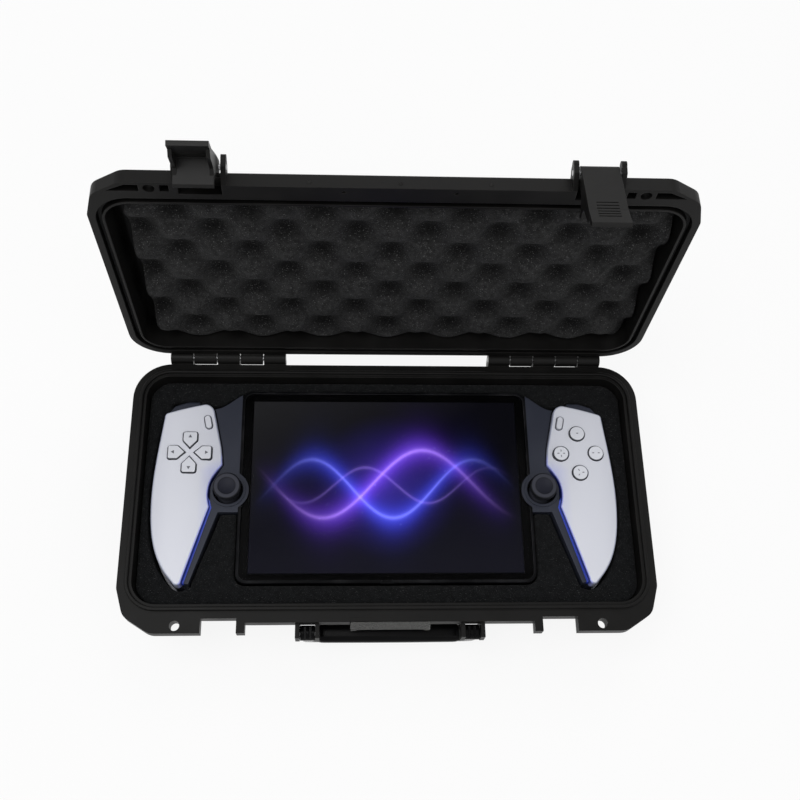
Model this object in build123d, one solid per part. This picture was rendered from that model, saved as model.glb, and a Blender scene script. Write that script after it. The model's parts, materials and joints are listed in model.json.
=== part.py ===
# Hard carry case for a handheld game console, with the console lying in its foam.
# Millimetres, Z up, X along the length, the handle side at minus Y.
# The origin is the middle of the flat underside of the base.
# The lid stands open, one latch is swung out and the other is nearly shut.

import math
import os

from build123d import *

# Case outline and heights
CASE_LENGTH = 304.0
CASE_WIDTH = 154.0
CORNER_RADIUS = 22.0
BASE_HEIGHT = 50.0
LID_HEIGHT = 22.0
WALL = 3.0
RIM_WIDTH = 8.0
RIM_BAND = 8.0
DRAFT_DEG = 4.0
FLOOR_ROUND = 6.0
LID_ROUND = 7.0
PARTING_GAP = 0.4
LID_OPEN_DEG = 93.7
EDGE_ROUND = 0.8

# Working allowances: cuts run past a face, ribs root in their wall, pins sit or turn in their bores
PAST = 1.0
ROOT = 1.0
PIN_EASE = 0.01
PIN_SLIP = 0.06
TURN_GAP = 0.3

# Stiffening gussets under the rim, and the ribbed panel on the outside of the lid
GUSSET_THICK = 2.2
GUSSET_BACK = 1.4
GUSSET_DROP = 13.0
GUSSET_RISE = 5.5
END_GUSSET_Y = 33.0
BACK_GUSSET_X = 34.0
PANEL_IN = 23.0
PANEL_CORNER = 9.0
PANEL_DEPTH = 1.0
PANEL_RIBS = 3
PANEL_RIB_WIDTH = 7.0
PANEL_RIB_PITCH = 27.0
PANEL_RIB_IN = 14.0

# Rim bead, groove and seal, measured in from the outer edge of the rim
BEAD_INSET = 5.2
BEAD_WIDTH = 2.2
BEAD_HEIGHT = 2.0
BEAD_ROUND = 0.7
GROOVE_WIDTH = 3.0
GROOVE_DEPTH = 4.2
SEAL_WIDTH = 2.6
SEAL_THICKNESS = 1.6
SEAL_ROUND = 0.6

# Front edge: how far each feature stands out past the rim
TAB_REACH = 8.1
LEDGE_REACH = 2.5
SKIRT_REACH = 6.6
TAB_CORNER_IN = 4.5
TAB_CORNER_RUN = 19.5
TAB_CORNER_BACK = 17.0
TAB_CORNER_STEP = 1.5
TAB_CORNER_ROUND = 9.0
PADLOCK_FROM_END = 33.2
PADLOCK_REACH = 3.9
PADLOCK_RADIUS = 2.8
POCKET_MARGIN = 1.7
POCKET_DEPTH = 5.0
POCKET_TO_HOLE = 5.0
WEDGE_SHORT = 6.5
WEDGE_LONG = 16.0
DIMPLE_X = 27.0
DIMPLE_REACH = 3.3
DIMPLE_RADIUS = 0.9
DIMPLE_DEPTH = 0.8

# Latches
LATCH_FROM_END = 57.0
LATCH_WIDTH = 18.6
LATCH_GAP = 19.8
LATCH_LENGTH = 38.0
LATCH_PIVOT_REACH = 11.0
LATCH_PIVOT_RISE = 8.0
LATCH_BARREL = 3.3
LATCH_PLATE = 2.4
LATCH_CHEEK = 1.8
LATCH_HOOK = 1.4
LATCH_HOOK_THICK = 3.0
LATCH_PIN_RADIUS = 1.4
LATCH_EAR = 2.5
LATCH_LEFT_DEG = 60.0
LATCH_RIGHT_DEG = 8.0
LATCH_WEB = 2.4
LATCH_WEB_GAP = 1.5
LATCH_EAR_GAP = 0.4
LATCH_EAR_TIP = 2.6
LATCH_EAR_TIP_RADIUS = 2.3
LATCH_EAR_EYE = 3.9
THUMB_LINES = 6
THUMB_LINE_PITCH = 1.9
THUMB_LINE_WIDTH = 0.7
THUMB_LINE_DEPTH = 0.55
THUMB_LINE_IN = 4.0
THUMB_LINE_START = 5.0
BASE_EAR = 4.6

# Back hinges
HINGE_OFFSET = 4.5
HINGE_FROM_END = 21.0
HINGE_LENGTH = 69.0
HINGE_SLIT = 0.8
HINGE_KNUCKLES = 5
HINGE_BLIND_END = 2.0
KNUCKLE_RADIUS = 3.9
KNUCKLE_HEEL = 0.4
KNUCKLE_TOE = 0.6
HINGE_PIN_RADIUS = 1.5

# Handle
HANDLE_X = 46.2
HANDLE_ARM = 8.2
HANDLE_EAR = 2.3
HANDLE_PIVOT_REACH = 6.0
HANDLE_PIVOT_DROP = 12.5
HANDLE_DROP = 25.0
HANDLE_BAR = 10.0
HANDLE_THICK = 8.4
HANDLE_PIN_RADIUS = 1.4
HANDLE_LEAN_DEG = 8.0
HANDLE_OUTER_ROUND = 9.0
HANDLE_INNER_ROUND = 5.0
HANDLE_EDGE_ROUND = 2.4
HANDLE_SLOT_IN = 1.9
HANDLE_SLOT_WIDTH = 1.4
HANDLE_SLOT_RISE = 2.4
HANDLE_BOSS_RADIUS = 4.6
HANDLE_BOSS_ROOT = 9.0
HANDLE_BOSS_TOP = 3.0

# Label holder on the front edge
LABEL_LENGTH = 40.0
LABEL_REACH = 4.6
LABEL_DROP = 7.0
LABEL_THICK = 1.2
LABEL_TOP_DROP = 1.5
LABEL_TOP_IN = 0.4
LABEL_SEAT_MARGIN = 2.5
LABEL_CLIP = 2.2
LABEL_CLIP_RISE = 0.8

# Foam
FOAM_DROP = 7.0
FOAM_FIT = 0.3
LID_FOAM_IN_LEFT = 16.0
LID_FOAM_IN_RIGHT = 10.0
LID_FOAM_IN_Y = 11.0
LID_FOAM_CORNER = 12.0
LID_FOAM_PEAK = 3.6
LID_FOAM_VALLEY = 12.6
LID_FOAM_PITCH = 18.44
POCKET_FIT = 0.7

# Handheld console: its place in the case, and levels above its own underside
CONSOLE_X = -1.5
CONSOLE_Y = -1.5
CONSOLE_DEPTH = 40.0
TABLET_LENGTH = 172.0
TABLET_WIDTH = 118.0
TABLET_Y = 3.9
TABLET_CORNER = 6.0
TABLET_FLOOR = 21.0
TABLET_SPLIT = 31.0
TABLET_TOP = 35.2
TABLET_WALL = 2.2
TABLET_ROUND = 2.5
GLASS_THICK = 1.2
GLASS_EDGE = 1.6
BEZEL_SIDE = 6.8
BEZEL_END = 6.0
DISPLAY_THICK = 2.2
DISPLAY_FIT = 0.2
THUMB_NOTCH_RADIUS = 4.2
THUMB_NOTCH_OUT = 1.5
GRIP_SPLIT = 17.0
GRIP_PLATE = 31.0
NECK_TOP = 34.6
COVER_CROWN = 39.0
COVER_CURVE = 70.0
COVER_CURVE_X = 118.0
COVER_WALL = 2.4
STRIP_WIDTH = 0.9
KEY_FIT = 0.35
KEY_REST = 33.2
KEY_PROUD = 1.1
KEY_ROUND = 0.7
COVER_ROUND = 1.2
KEYS_X = 115.2
KEYS_Y = 22.1
DIRECTION_HALF = 4.3
DIRECTION_NEAR = 2.4
DIRECTION_FAR = 12.8
DIRECTION_POINT = 4.6
DIRECTION_CORNER = 1.5
FACE_RADIUS = 4.65
FACE_STEP_X = 10.4
FACE_STEP_Y = 12.4
MENU_X = 105.4
MENU_Y = 41.6
MENU_LENGTH = 8.6
MENU_WIDTH = 3.9
MENU_TURN_DEG = 12.0

# Thumbsticks
STICK_X = 92.2
STICK_Y = 0.2
STICK_PIVOT = 26.0
STICK_TOP = 43.6
STICK_CAP_RADIUS = 8.0
STICK_CAP_THICK = 3.6
STICK_NECK_RADIUS = 3.6
STICK_DOME_RADIUS = 7.6
STICK_BOSS_RADIUS = 12.0
STICK_WELL_RADIUS = 8.8
YOKE_INNER = 8.0
YOKE_OUTER = 9.2
YOKE_HEIGHT = 3.6
YOKE_STUB_RADIUS = 1.0
STUB_FIT = 0.08
YOKE_ROOM = 10.3
YOKE_ROOM_RISE = 4.6
YOKE_STUB_END = 11.3
STICK_RING_IN = 1.8
STICK_RING_RISE = 1.2
STICK_CAP_ROUND = 0.9
STICK_DISH_RADIUS = 12.4
STICK_DISH_DEPTH = 1.2
STICK_DOME_CUT = 2.4

# Shoulder buttons and triggers
BUMPER_LOW = 27.5
BUMPER_HEIGHT = 7.0
BUMPER_TRAVEL = 1.0
BUMPER_ROUND = 1.4
BUMPER_SOFT_Y = 53.1
TRIGGER_LENGTH = 15.0
TRIGGER_X = 119.5
TRIGGER_PIVOT_Y = 48.6
TRIGGER_PIVOT_Z = 22.6
TRIGGER_PIN_RADIUS = 0.9
TRIGGER_BARREL = 2.6
TRIGGER_PIN_END = 2.2
TRIGGER_GAP = 0.5
TRIGGER_ROOM_DEEP = 3.4
TRIGGER_ROOM_RISE = 3.6
TRIGGER_SEAT = 4.0
TRIGGER_SEAT_DEEP = 7.5

# Board and battery inside the screen unit
BOARD_LENGTH = 140.0
BOARD_WIDTH = 46.0
BOARD_THICK = 1.6
BOARD_Y = 28.0
CHIP_SIDE = 18.0
CHIP_THICK = 1.4
BATTERY_LENGTH = 128.0
BATTERY_WIDTH = 48.0
BATTERY_THICK = 4.8
BATTERY_Y = -24.0

# Places that follow from the sizes above
BACK_Y = CASE_WIDTH / 2
FRONT_Y = -CASE_WIDTH / 2
TAB_Y = FRONT_Y - TAB_REACH
SIDE_X = CASE_LENGTH / 2
PADLOCK_X = SIDE_X - PADLOCK_FROM_END
LATCH_X = SIDE_X - LATCH_FROM_END
HINGE_END = SIDE_X - HINGE_FROM_END
HINGE_START = HINGE_END - HINGE_LENGTH
LID_FOAM_LENGTH = CASE_LENGTH - LID_FOAM_IN_LEFT - LID_FOAM_IN_RIGHT
LID_FOAM_X = (LID_FOAM_IN_LEFT - LID_FOAM_IN_RIGHT) / 2
LID_FOAM_WIDTH = CASE_WIDTH - 2 * LID_FOAM_IN_Y
HINGE_Y = BACK_Y + HINGE_OFFSET
LATCH_Y = FRONT_Y - LATCH_PIVOT_REACH
LATCH_Z = BASE_HEIGHT + LATCH_PIVOT_RISE
HANDLE_Y = FRONT_Y - HANDLE_PIVOT_REACH
HANDLE_Z = BASE_HEIGHT - HANDLE_PIVOT_DROP
LID_BOTTOM = BASE_HEIGHT + PARTING_GAP
LID_TOP = BASE_HEIGHT + LID_HEIGHT
FOAM_TOP = BASE_HEIGHT - FOAM_DROP
CONSOLE_FLOOR = BASE_HEIGHT - CONSOLE_DEPTH
DISPLAY_LENGTH = TABLET_LENGTH - 2 * BEZEL_SIDE
DISPLAY_WIDTH = TABLET_WIDTH - 2 * BEZEL_END
OVERHANG = RIM_WIDTH - WALL
DRAFT = math.tan(math.radians(DRAFT_DEG))
HINGE_LINE = Axis((0, HINGE_Y, BASE_HEIGHT), (1, 0, 0))
LATCH_LINE = Axis((0, LATCH_Y, LATCH_Z), (1, 0, 0))
HANDLE_LINE = Axis((0, HANDLE_Y, HANDLE_Z), (1, 0, 0))


def rounded(inset, z):
    """Rim outline moved in by an inset, lying at height z."""
    length = CASE_LENGTH - 2 * inset
    width = CASE_WIDTH - 2 * inset
    return Pos(0, 0, z) * RectangleRounded(length, width, max(CORNER_RADIUS - inset, 2.0))


def tapered(inset, z_rim, z_far):
    """Drafted block that narrows away from the rim."""
    lean = abs(z_far - z_rim) * DRAFT
    return loft([rounded(inset, z_rim), rounded(inset + lean, z_far)])


def ring(inset, width, z, height):
    """Band that follows the rim, centred on an inset."""
    outer = rounded(inset - width / 2, z)
    inner = rounded(inset + width / 2, z)
    return extrude(outer - inner, height)


def box_between(x0, x1, y0, y1, z0, z1):
    """Box given by its two corners."""
    size = Box(abs(x1 - x0), abs(y1 - y0), abs(z1 - z0))
    return Pos((x0 + x1) / 2, (y0 + y1) / 2, (z0 + z1) / 2) * size


def profile(points, x0, x1):
    """Side profile drawn in Y and Z, run along X."""
    face = make_face(Polyline(*[(0, y, z) for y, z in points], close=True))
    return Pos(x0, 0, 0) * extrude(face, x1 - x0, dir=(1, 0, 0))


def disc_x(y, z, radius, x0, x1):
    """Cylinder lying along X."""
    return Pos((x0 + x1) / 2, y, z) * Rot(0, 90, 0) * Cylinder(radius, abs(x1 - x0))


def rod_y(x, z, radius, y0, y1):
    """Cylinder lying along Y."""
    return Pos(x, (y0 + y1) / 2, z) * Rot(90, 0, 0) * Cylinder(radius, abs(y1 - y0))


def mirrored(shape):
    """The same shape on the other side of the case."""
    return mirror(shape, about=Plane.YZ)


def both_sides(shape):
    return shape + mirrored(shape)


def front_outline():
    """Rim outline with the two front corners drawn out into tabs."""
    main = RectangleRounded(CASE_LENGTH, CASE_WIDTH, CORNER_RADIUS)
    corner_y = FRONT_Y + TAB_CORNER_BACK
    points = [
        (0, 0),
        (SIDE_X, 0),
        (SIDE_X, corner_y),
        (SIDE_X - TAB_CORNER_IN, FRONT_Y + TAB_CORNER_STEP),
        (SIDE_X - TAB_CORNER_RUN, TAB_Y),
        (0, TAB_Y),
    ]
    half = make_face(Polyline(*points, close=True))
    soft = half.vertices().filter_by(lambda v: v.X > SIDE_X - TAB_CORNER_RUN - PAST and v.Y < -PAST)
    half = fillet(soft, TAB_CORNER_ROUND)
    return main + half + mirrored(half)


def trim_front(x0, x1, y, z0, z1):
    """Blocks on both sides that trim a flange back to y."""
    return both_sides(box_between(x0, x1, y, TAB_Y - PAST, z0, z1))


def knuckle_spans():
    """Start and end of each knuckle of one hinge, in order."""
    width = (HINGE_LENGTH - (HINGE_KNUCKLES - 1) * HINGE_SLIT) / HINGE_KNUCKLES
    spans = []
    for i in range(HINGE_KNUCKLES):
        start = HINGE_START + i * (width + HINGE_SLIT)
        spans.append((start, start + width))
    return spans


def knuckle(x0, x1, side):
    """Knuckle with a web that joins it to the flange below (side -1) or above (side 1)."""
    root = BACK_Y - ROOT
    near = BASE_HEIGHT + side * PARTING_GAP
    far = BASE_HEIGHT + side * RIM_BAND
    behind = HINGE_Y + math.sqrt(KNUCKLE_RADIUS**2 - (2 * PARTING_GAP) ** 2)
    heel = near + side * KNUCKLE_HEEL
    eye = disc_x(HINGE_Y, BASE_HEIGHT, KNUCKLE_RADIUS, x0, x1)
    outline = [(root, near), (behind, near), (behind, heel), (HINGE_Y + KNUCKLE_TOE, far), (root, far)]
    return eye + profile(outline, x0, x1)


def padlock_holes(z0, z1):
    hole = Pos(PADLOCK_X, FRONT_Y - PADLOCK_REACH, (z0 + z1) / 2)
    return both_sides(hole * Cylinder(PADLOCK_RADIUS, z1 - z0 + 2 * PAST))


def end_gusset(y, z_rim, z_far):
    """Web at the right end that stiffens the rim flange against the drafted wall."""
    lean = abs(z_far - z_rim) * DRAFT
    wall = SIDE_X - OVERHANG
    outline = [
        (wall - lean - ROOT, y, z_rim),
        (SIDE_X - GUSSET_BACK, y, z_rim),
        (wall - lean, y, z_far),
        (wall - lean - ROOT, y, z_far),
    ]
    face = make_face(Polyline(*outline, close=True))
    return extrude(face, GUSSET_THICK / 2, dir=(0, 1, 0), both=True)


def end_gussets(z_rim, z_far):
    """Two webs at each short end."""
    pair = end_gusset(END_GUSSET_Y, z_rim, z_far) + end_gusset(-END_GUSSET_Y, z_rim, z_far)
    return both_sides(pair)


def back_gussets(z_rim, z_far):
    """Webs under the back rim, between the hinges."""
    lean = abs(z_far - z_rim) * DRAFT
    wall = BACK_Y - OVERHANG - lean
    outline = [(wall - ROOT, z_rim), (BACK_Y - GUSSET_BACK, z_rim), (wall, z_far), (wall - ROOT, z_far)]
    half = GUSSET_THICK / 2
    middle = profile(outline, -half, half)
    return middle + both_sides(profile(outline, BACK_GUSSET_X - half, BACK_GUSSET_X + half))


def base_shell():
    """Lower half: drafted tub, rim flange, bead, tabs, ears, gussets, knuckles and bosses."""
    z_band = BASE_HEIGHT - RIM_BAND
    tub = tapered(OVERHANG, BASE_HEIGHT, 0)
    tub = fillet(tub.faces().sort_by(Axis.Z)[0].edges(), FLOOR_ROUND)
    flange = Pos(0, 0, z_band) * extrude(front_outline(), RIM_BAND)
    gap_in = LATCH_X - LATCH_GAP / 2
    gap_out = LATCH_X + LATCH_GAP / 2
    flange -= trim_front(gap_in, gap_out, FRONT_Y, z_band - PAST, BASE_HEIGHT + PAST)
    ear_in = gap_in - BASE_EAR
    flange -= trim_front(0, ear_in, FRONT_Y - LEDGE_REACH, z_band - PAST, BASE_HEIGHT + PAST)
    flange = fillet(flange.faces().sort_by(Axis.Z)[0].edges(), EDGE_ROUND)
    shell = tub + flange
    shell += end_gussets(z_band + EDGE_ROUND, z_band - GUSSET_DROP)
    shell += back_gussets(z_band + EDGE_ROUND, z_band - GUSSET_DROP)
    shell += handle_bosses()
    shell = shell - label_block(LABEL_THICK + LABEL_CLIP_RISE + TURN_GAP) + label_block(0)
    spans = knuckle_spans()
    for i in (0, 2, 4):
        shell += both_sides(knuckle(*spans[i], -1))
    inner = tapered(RIM_WIDTH, BASE_HEIGHT, WALL)
    inner = fillet(inner.faces().sort_by(Axis.Z)[0].edges(), FLOOR_ROUND - WALL)
    inner += extrude(rounded(RIM_WIDTH, BASE_HEIGHT - PIN_EASE), PAST)
    shell -= inner
    bead = ring(BEAD_INSET, BEAD_WIDTH, BASE_HEIGHT - ROOT, BEAD_HEIGHT + ROOT)
    bead = fillet(bead.faces().sort_by(Axis.Z)[-1].edges(), BEAD_ROUND)
    shell += bead
    shell -= padlock_holes(z_band, BASE_HEIGHT)
    bore_end = HINGE_END - HINGE_BLIND_END
    bore = disc_x(HINGE_Y, BASE_HEIGHT, HINGE_PIN_RADIUS, HINGE_START - PAST, bore_end)
    shell -= both_sides(bore)
    return shell


def handle_bosses():
    """Two pairs of ears under the front ledge that carry the handle."""
    reach = HANDLE_Y - HANDLE_BOSS_RADIUS
    inner = HANDLE_X - HANDLE_ARM / 2 - TURN_GAP
    outer = HANDLE_X + HANDLE_ARM / 2 + TURN_GAP
    wall_y = FRONT_Y + OVERHANG + ROOT
    top = BASE_HEIGHT - HANDLE_BOSS_TOP
    parts = None
    for x0, x1 in ((inner - HANDLE_EAR, inner), (outer, outer + HANDLE_EAR)):
        ear = profile(
            [
                (wall_y, top),
                (reach, top),
                (reach, HANDLE_Z),
                (HANDLE_Y, HANDLE_Z - HANDLE_BOSS_RADIUS),
                (wall_y, HANDLE_Z - HANDLE_BOSS_ROOT),
            ],
            x0,
            x1,
        )
        ear += disc_x(HANDLE_Y, HANDLE_Z, HANDLE_BOSS_RADIUS, x0, x1)
        ear -= disc_x(HANDLE_Y, HANDLE_Z, HANDLE_PIN_RADIUS, x0 - PAST, x1 + PAST)
        parts = ear if parts is None else parts + ear
    return both_sides(parts)


def label_slope(lift):
    """Top and foot of the label holder's slope, lifted off its seat."""
    rise = LABEL_DROP - LABEL_TOP_DROP
    run = LABEL_REACH - LABEL_TOP_IN
    length = math.hypot(rise, run)
    dy = -rise / length * lift
    dz = run / length * lift
    top = (FRONT_Y - LABEL_TOP_IN + dy, BASE_HEIGHT - LABEL_TOP_DROP + dz)
    foot = (FRONT_Y - LABEL_REACH + dy, BASE_HEIGHT - LABEL_DROP + dz)
    return top, foot


def label_block(lift):
    """Sloped seat for the label holder in the middle of the front ledge."""
    half = LABEL_LENGTH / 2 + LABEL_SEAT_MARGIN
    top, foot = label_slope(lift)
    root = FRONT_Y + ROOT if lift == 0 else FRONT_Y
    low = BASE_HEIGHT - RIM_BAND - lift
    return profile([(root, top[1]), top, foot, (foot[0], low), (root, low)], -half, half)


def label_window():
    """Clear strip that lies on the sloped seat, with two end clips."""
    top, foot = label_slope(0)
    strip_top, strip_foot = label_slope(LABEL_THICK)
    clip_top, clip_foot = label_slope(LABEL_THICK + LABEL_CLIP_RISE)
    half = LABEL_LENGTH / 2
    strip = profile([top, foot, strip_foot, strip_top], -half, half)
    clip = profile([top, foot, clip_foot, clip_top], half - ROOT, half + LABEL_CLIP)
    return strip + both_sides(clip)


def hinge_pin():
    """Steel pin of the right hinge."""
    end = HINGE_END - HINGE_BLIND_END - PARTING_GAP
    return disc_x(HINGE_Y, BASE_HEIGHT, HINGE_PIN_RADIUS - PIN_EASE, HINGE_START, end)


def handle():
    """Folding handle: a rounded bail with an eye at each end."""
    x_out = HANDLE_X + HANDLE_ARM / 2
    x_in = HANDLE_X - HANDLE_ARM / 2
    low = HANDLE_Z - HANDLE_DROP
    outline = Pos(0, (HANDLE_Z + low) / 2) * Rectangle(2 * x_out, HANDLE_Z - low)
    outline = fillet(outline.vertices().group_by(Axis.Y)[0], HANDLE_OUTER_ROUND)
    window_low = low + HANDLE_BAR
    window_top = HANDLE_Z + HANDLE_THICK
    window = Pos(0, (window_top + window_low) / 2) * Rectangle(2 * x_in, window_top - window_low)
    window = fillet(window.vertices().group_by(Axis.Y)[0], HANDLE_INNER_ROUND)
    face = Plane.XZ * (outline - window)
    bail = Pos(0, HANDLE_Y + HANDLE_THICK / 2, 0) * extrude(face, HANDLE_THICK)
    half = HANDLE_THICK / 2
    soft = bail.edges().filter_by(lambda e: e.center().Z < HANDLE_Z - PAST)
    soft = soft.filter_by(lambda e: abs(abs(e.center().Y - HANDLE_Y) - half) < PIN_EASE)
    bail = fillet(soft, HANDLE_EDGE_ROUND)
    eye = disc_x(HANDLE_Y, HANDLE_Z, half, x_in, x_out)
    slot_low = HANDLE_Z + HANDLE_SLOT_RISE
    for x in (x_in + HANDLE_SLOT_IN, x_out - HANDLE_SLOT_IN - HANDLE_SLOT_WIDTH):
        eye -= box_between(
            x, x + HANDLE_SLOT_WIDTH, HANDLE_Y - half, HANDLE_Y + half, slot_low, window_top
        )
    bail += both_sides(eye)
    bore = disc_x(HANDLE_Y, HANDLE_Z, HANDLE_PIN_RADIUS + PIN_SLIP, x_in - PAST, x_out + PAST)
    bail -= both_sides(bore)
    return bail.rotate(HANDLE_LINE, HANDLE_LEAN_DEG)


def handle_pin():
    """Steel pin of the right end of the handle."""
    half = HANDLE_ARM / 2 + TURN_GAP + HANDLE_EAR
    return disc_x(HANDLE_Y, HANDLE_Z, HANDLE_PIN_RADIUS - PIN_EASE, HANDLE_X - half, HANDLE_X + half)


def open_lid(shape):
    """Swings a piece of the lid from shut to the open position."""
    return shape.rotate(HINGE_LINE, -LID_OPEN_DEG)


def latch_ear(x0, x1):
    """Fin beside a latch, drawn out round the latch pin."""
    tip = (LATCH_Y - LATCH_EAR_TIP, LATCH_Z + LATCH_EAR_TIP)
    body = profile(
        [
            (FRONT_Y + ROOT, LID_BOTTOM),
            (FRONT_Y - SKIRT_REACH - 0.5, LID_BOTTOM),
            (LATCH_Y - 3.4, LATCH_Z - 2.4),
            (tip[0] - 1.9, tip[1] - 0.6),
            (tip[0] + 1.2, tip[1] + 2.0),
            (FRONT_Y - SKIRT_REACH + 2, LID_BOTTOM + RIM_BAND),
            (FRONT_Y + ROOT, LID_BOTTOM + RIM_BAND),
        ],
        x0,
        x1,
    )
    body += disc_x(tip[0], tip[1], LATCH_EAR_TIP_RADIUS, x0, x1)
    body += disc_x(LATCH_Y, LATCH_Z, LATCH_EAR_EYE, x0, x1)
    body -= disc_x(LATCH_Y, LATCH_Z, LATCH_PIN_RADIUS, x0 - PAST, x1 + PAST)
    return body


def lid_pocket_shapes():
    """Relief pockets in the mating face beside each padlock hole."""
    y0 = FRONT_Y - POCKET_MARGIN
    y1 = TAB_Y + POCKET_MARGIN
    far = PADLOCK_X + POCKET_TO_HOLE
    near = PADLOCK_X - POCKET_TO_HOLE
    start = LATCH_X + LATCH_GAP / 2 + LATCH_EAR_GAP + LATCH_EAR + POCKET_MARGIN
    corners = [(far, y0), (far, y1), (far + WEDGE_SHORT, y1), (far + WEDGE_LONG, y0)]
    wedge = make_face(Polyline(*corners, close=True))
    block = make_face(Polyline((start, y0), (start, y1), (near, y1), (near, y0), close=True))
    cut = Pos(0, 0, LID_BOTTOM - PAST) * extrude(wedge + block, POCKET_DEPTH + PAST)
    return both_sides(cut)


def lid_dimples():
    """Two small round marks in the middle of the front mating face."""
    mark = Pos(DIMPLE_X, FRONT_Y - DIMPLE_REACH, LID_BOTTOM)
    return both_sides(mark * Cylinder(DIMPLE_RADIUS, 2 * DIMPLE_DEPTH))


def lid_panel():
    """Shallow recess on the outside of the lid, less the long ribs that stay in it."""
    length = CASE_LENGTH - 2 * PANEL_IN
    width = CASE_WIDTH - 2 * PANEL_IN
    plan = RectangleRounded(length, width, PANEL_CORNER)
    for i in range(PANEL_RIBS):
        y = (i - (PANEL_RIBS - 1) / 2) * PANEL_RIB_PITCH
        plan -= Pos(0, y) * SlotOverall(length - 2 * PANEL_RIB_IN, PANEL_RIB_WIDTH)
    return Pos(0, 0, LID_TOP - PANEL_DEPTH) * extrude(plan, PANEL_DEPTH + PAST)


def lid_shell():
    """Upper half, drawn shut: drafted cover, skirt flange, groove, ears and knuckles."""
    z_band = LID_BOTTOM + RIM_BAND
    cover = tapered(OVERHANG, LID_BOTTOM, LID_TOP)
    cover = fillet(cover.faces().sort_by(Axis.Z)[-1].edges(), LID_ROUND)
    flange = Pos(0, 0, LID_BOTTOM) * extrude(front_outline(), RIM_BAND)
    gap_in = LATCH_X - LATCH_GAP / 2 - LATCH_EAR_GAP
    gap_out = LATCH_X + LATCH_GAP / 2 + LATCH_EAR_GAP
    flange -= trim_front(gap_in, gap_out, FRONT_Y, LID_BOTTOM - PAST, z_band + PAST)
    flange -= trim_front(0, gap_in, FRONT_Y - SKIRT_REACH, LID_BOTTOM - PAST, z_band + PAST)
    flange = fillet(flange.faces().sort_by(Axis.Z)[-1].edges(), EDGE_ROUND)
    web_y = LATCH_Y + LATCH_BARREL + LATCH_WEB_GAP
    web_top = z_band - PIN_SLIP
    web_low = web_top - LATCH_WEB
    web = box_between(gap_in - ROOT, gap_out + ROOT, web_y, FRONT_Y + ROOT, web_low, web_top)
    flange += both_sides(web)
    shell = cover + flange
    shell += end_gussets(z_band - EDGE_ROUND, z_band + GUSSET_RISE)
    shell += both_sides(latch_ear(gap_in - LATCH_EAR, gap_in))
    shell += both_sides(latch_ear(gap_out, gap_out + LATCH_EAR))
    spans = knuckle_spans()
    for i in (1, 3):
        shell += both_sides(knuckle(*spans[i], 1))
    inner = tapered(RIM_WIDTH, LID_BOTTOM, LID_TOP - WALL)
    inner = fillet(inner.faces().sort_by(Axis.Z)[-1].edges(), LID_ROUND - WALL)
    inner += extrude(rounded(RIM_WIDTH, LID_BOTTOM - PAST), PAST + PIN_EASE)
    shell -= inner
    shell -= ring(BEAD_INSET, GROOVE_WIDTH, LID_BOTTOM - PAST, GROOVE_DEPTH + PAST)
    shell -= padlock_holes(LID_BOTTOM, z_band)
    shell -= lid_pocket_shapes()
    shell -= lid_dimples()
    shell -= lid_panel()
    slip = HINGE_PIN_RADIUS + PIN_SLIP
    bore = disc_x(HINGE_Y, BASE_HEIGHT, slip, HINGE_START - PAST, HINGE_END + PAST)
    shell -= both_sides(bore)
    return shell


def lid_seal():
    """Rubber cord at the bottom of the lid groove."""
    z = LID_BOTTOM + GROOVE_DEPTH - SEAL_THICKNESS
    cord = ring(BEAD_INSET, SEAL_WIDTH, z, SEAL_THICKNESS)
    return fillet(cord.faces().sort_by(Axis.Z)[0].edges(), SEAL_ROUND)


def foam_height(x, y):
    """Height of the egg-crate face, with a hollow over each thumbstick."""
    along = math.pi * (x - CONSOLE_X - STICK_X) / LID_FOAM_PITCH
    across = math.pi * (y - CONSOLE_Y - STICK_Y) / LID_FOAM_PITCH
    wave = -math.cos(along) * math.cos(across)
    middle = (LID_FOAM_PEAK + LID_FOAM_VALLEY) / 2
    return BASE_HEIGHT + middle - wave * (LID_FOAM_VALLEY - LID_FOAM_PEAK) / 2


def lid_foam():
    """Egg-crate pad: a row of wave sections lofted across the lid, with round corners."""
    top = LID_TOP - WALL
    rows = 4 * math.ceil(LID_FOAM_WIDTH / LID_FOAM_PITCH)
    x0 = LID_FOAM_X - LID_FOAM_LENGTH / 2
    x1 = LID_FOAM_X + LID_FOAM_LENGTH / 2
    count = 4 * math.ceil(LID_FOAM_LENGTH / LID_FOAM_PITCH)
    sections = []
    for j in range(rows + 1):
        y = -LID_FOAM_WIDTH / 2 + LID_FOAM_WIDTH * j / rows
        points = []
        for i in range(count + 1):
            x = x0 + LID_FOAM_LENGTH * i / count
            points.append((x, y, foam_height(x, y)))
        wave = Spline(*points)
        sides = Polyline(points[-1], (x1, y, top), (x0, y, top), points[0])
        sections.append(make_face(wave + sides))
    pad = loft(sections, ruled=True)
    outline = RectangleRounded(LID_FOAM_LENGTH, LID_FOAM_WIDTH, LID_FOAM_CORNER)
    pad = pad & (Pos(LID_FOAM_X, 0, BASE_HEIGHT) * extrude(outline, LID_HEIGHT))
    return fillet(pad.faces().sort_by(Axis.Z)[-1].edges(), LID_ROUND - WALL)


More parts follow.
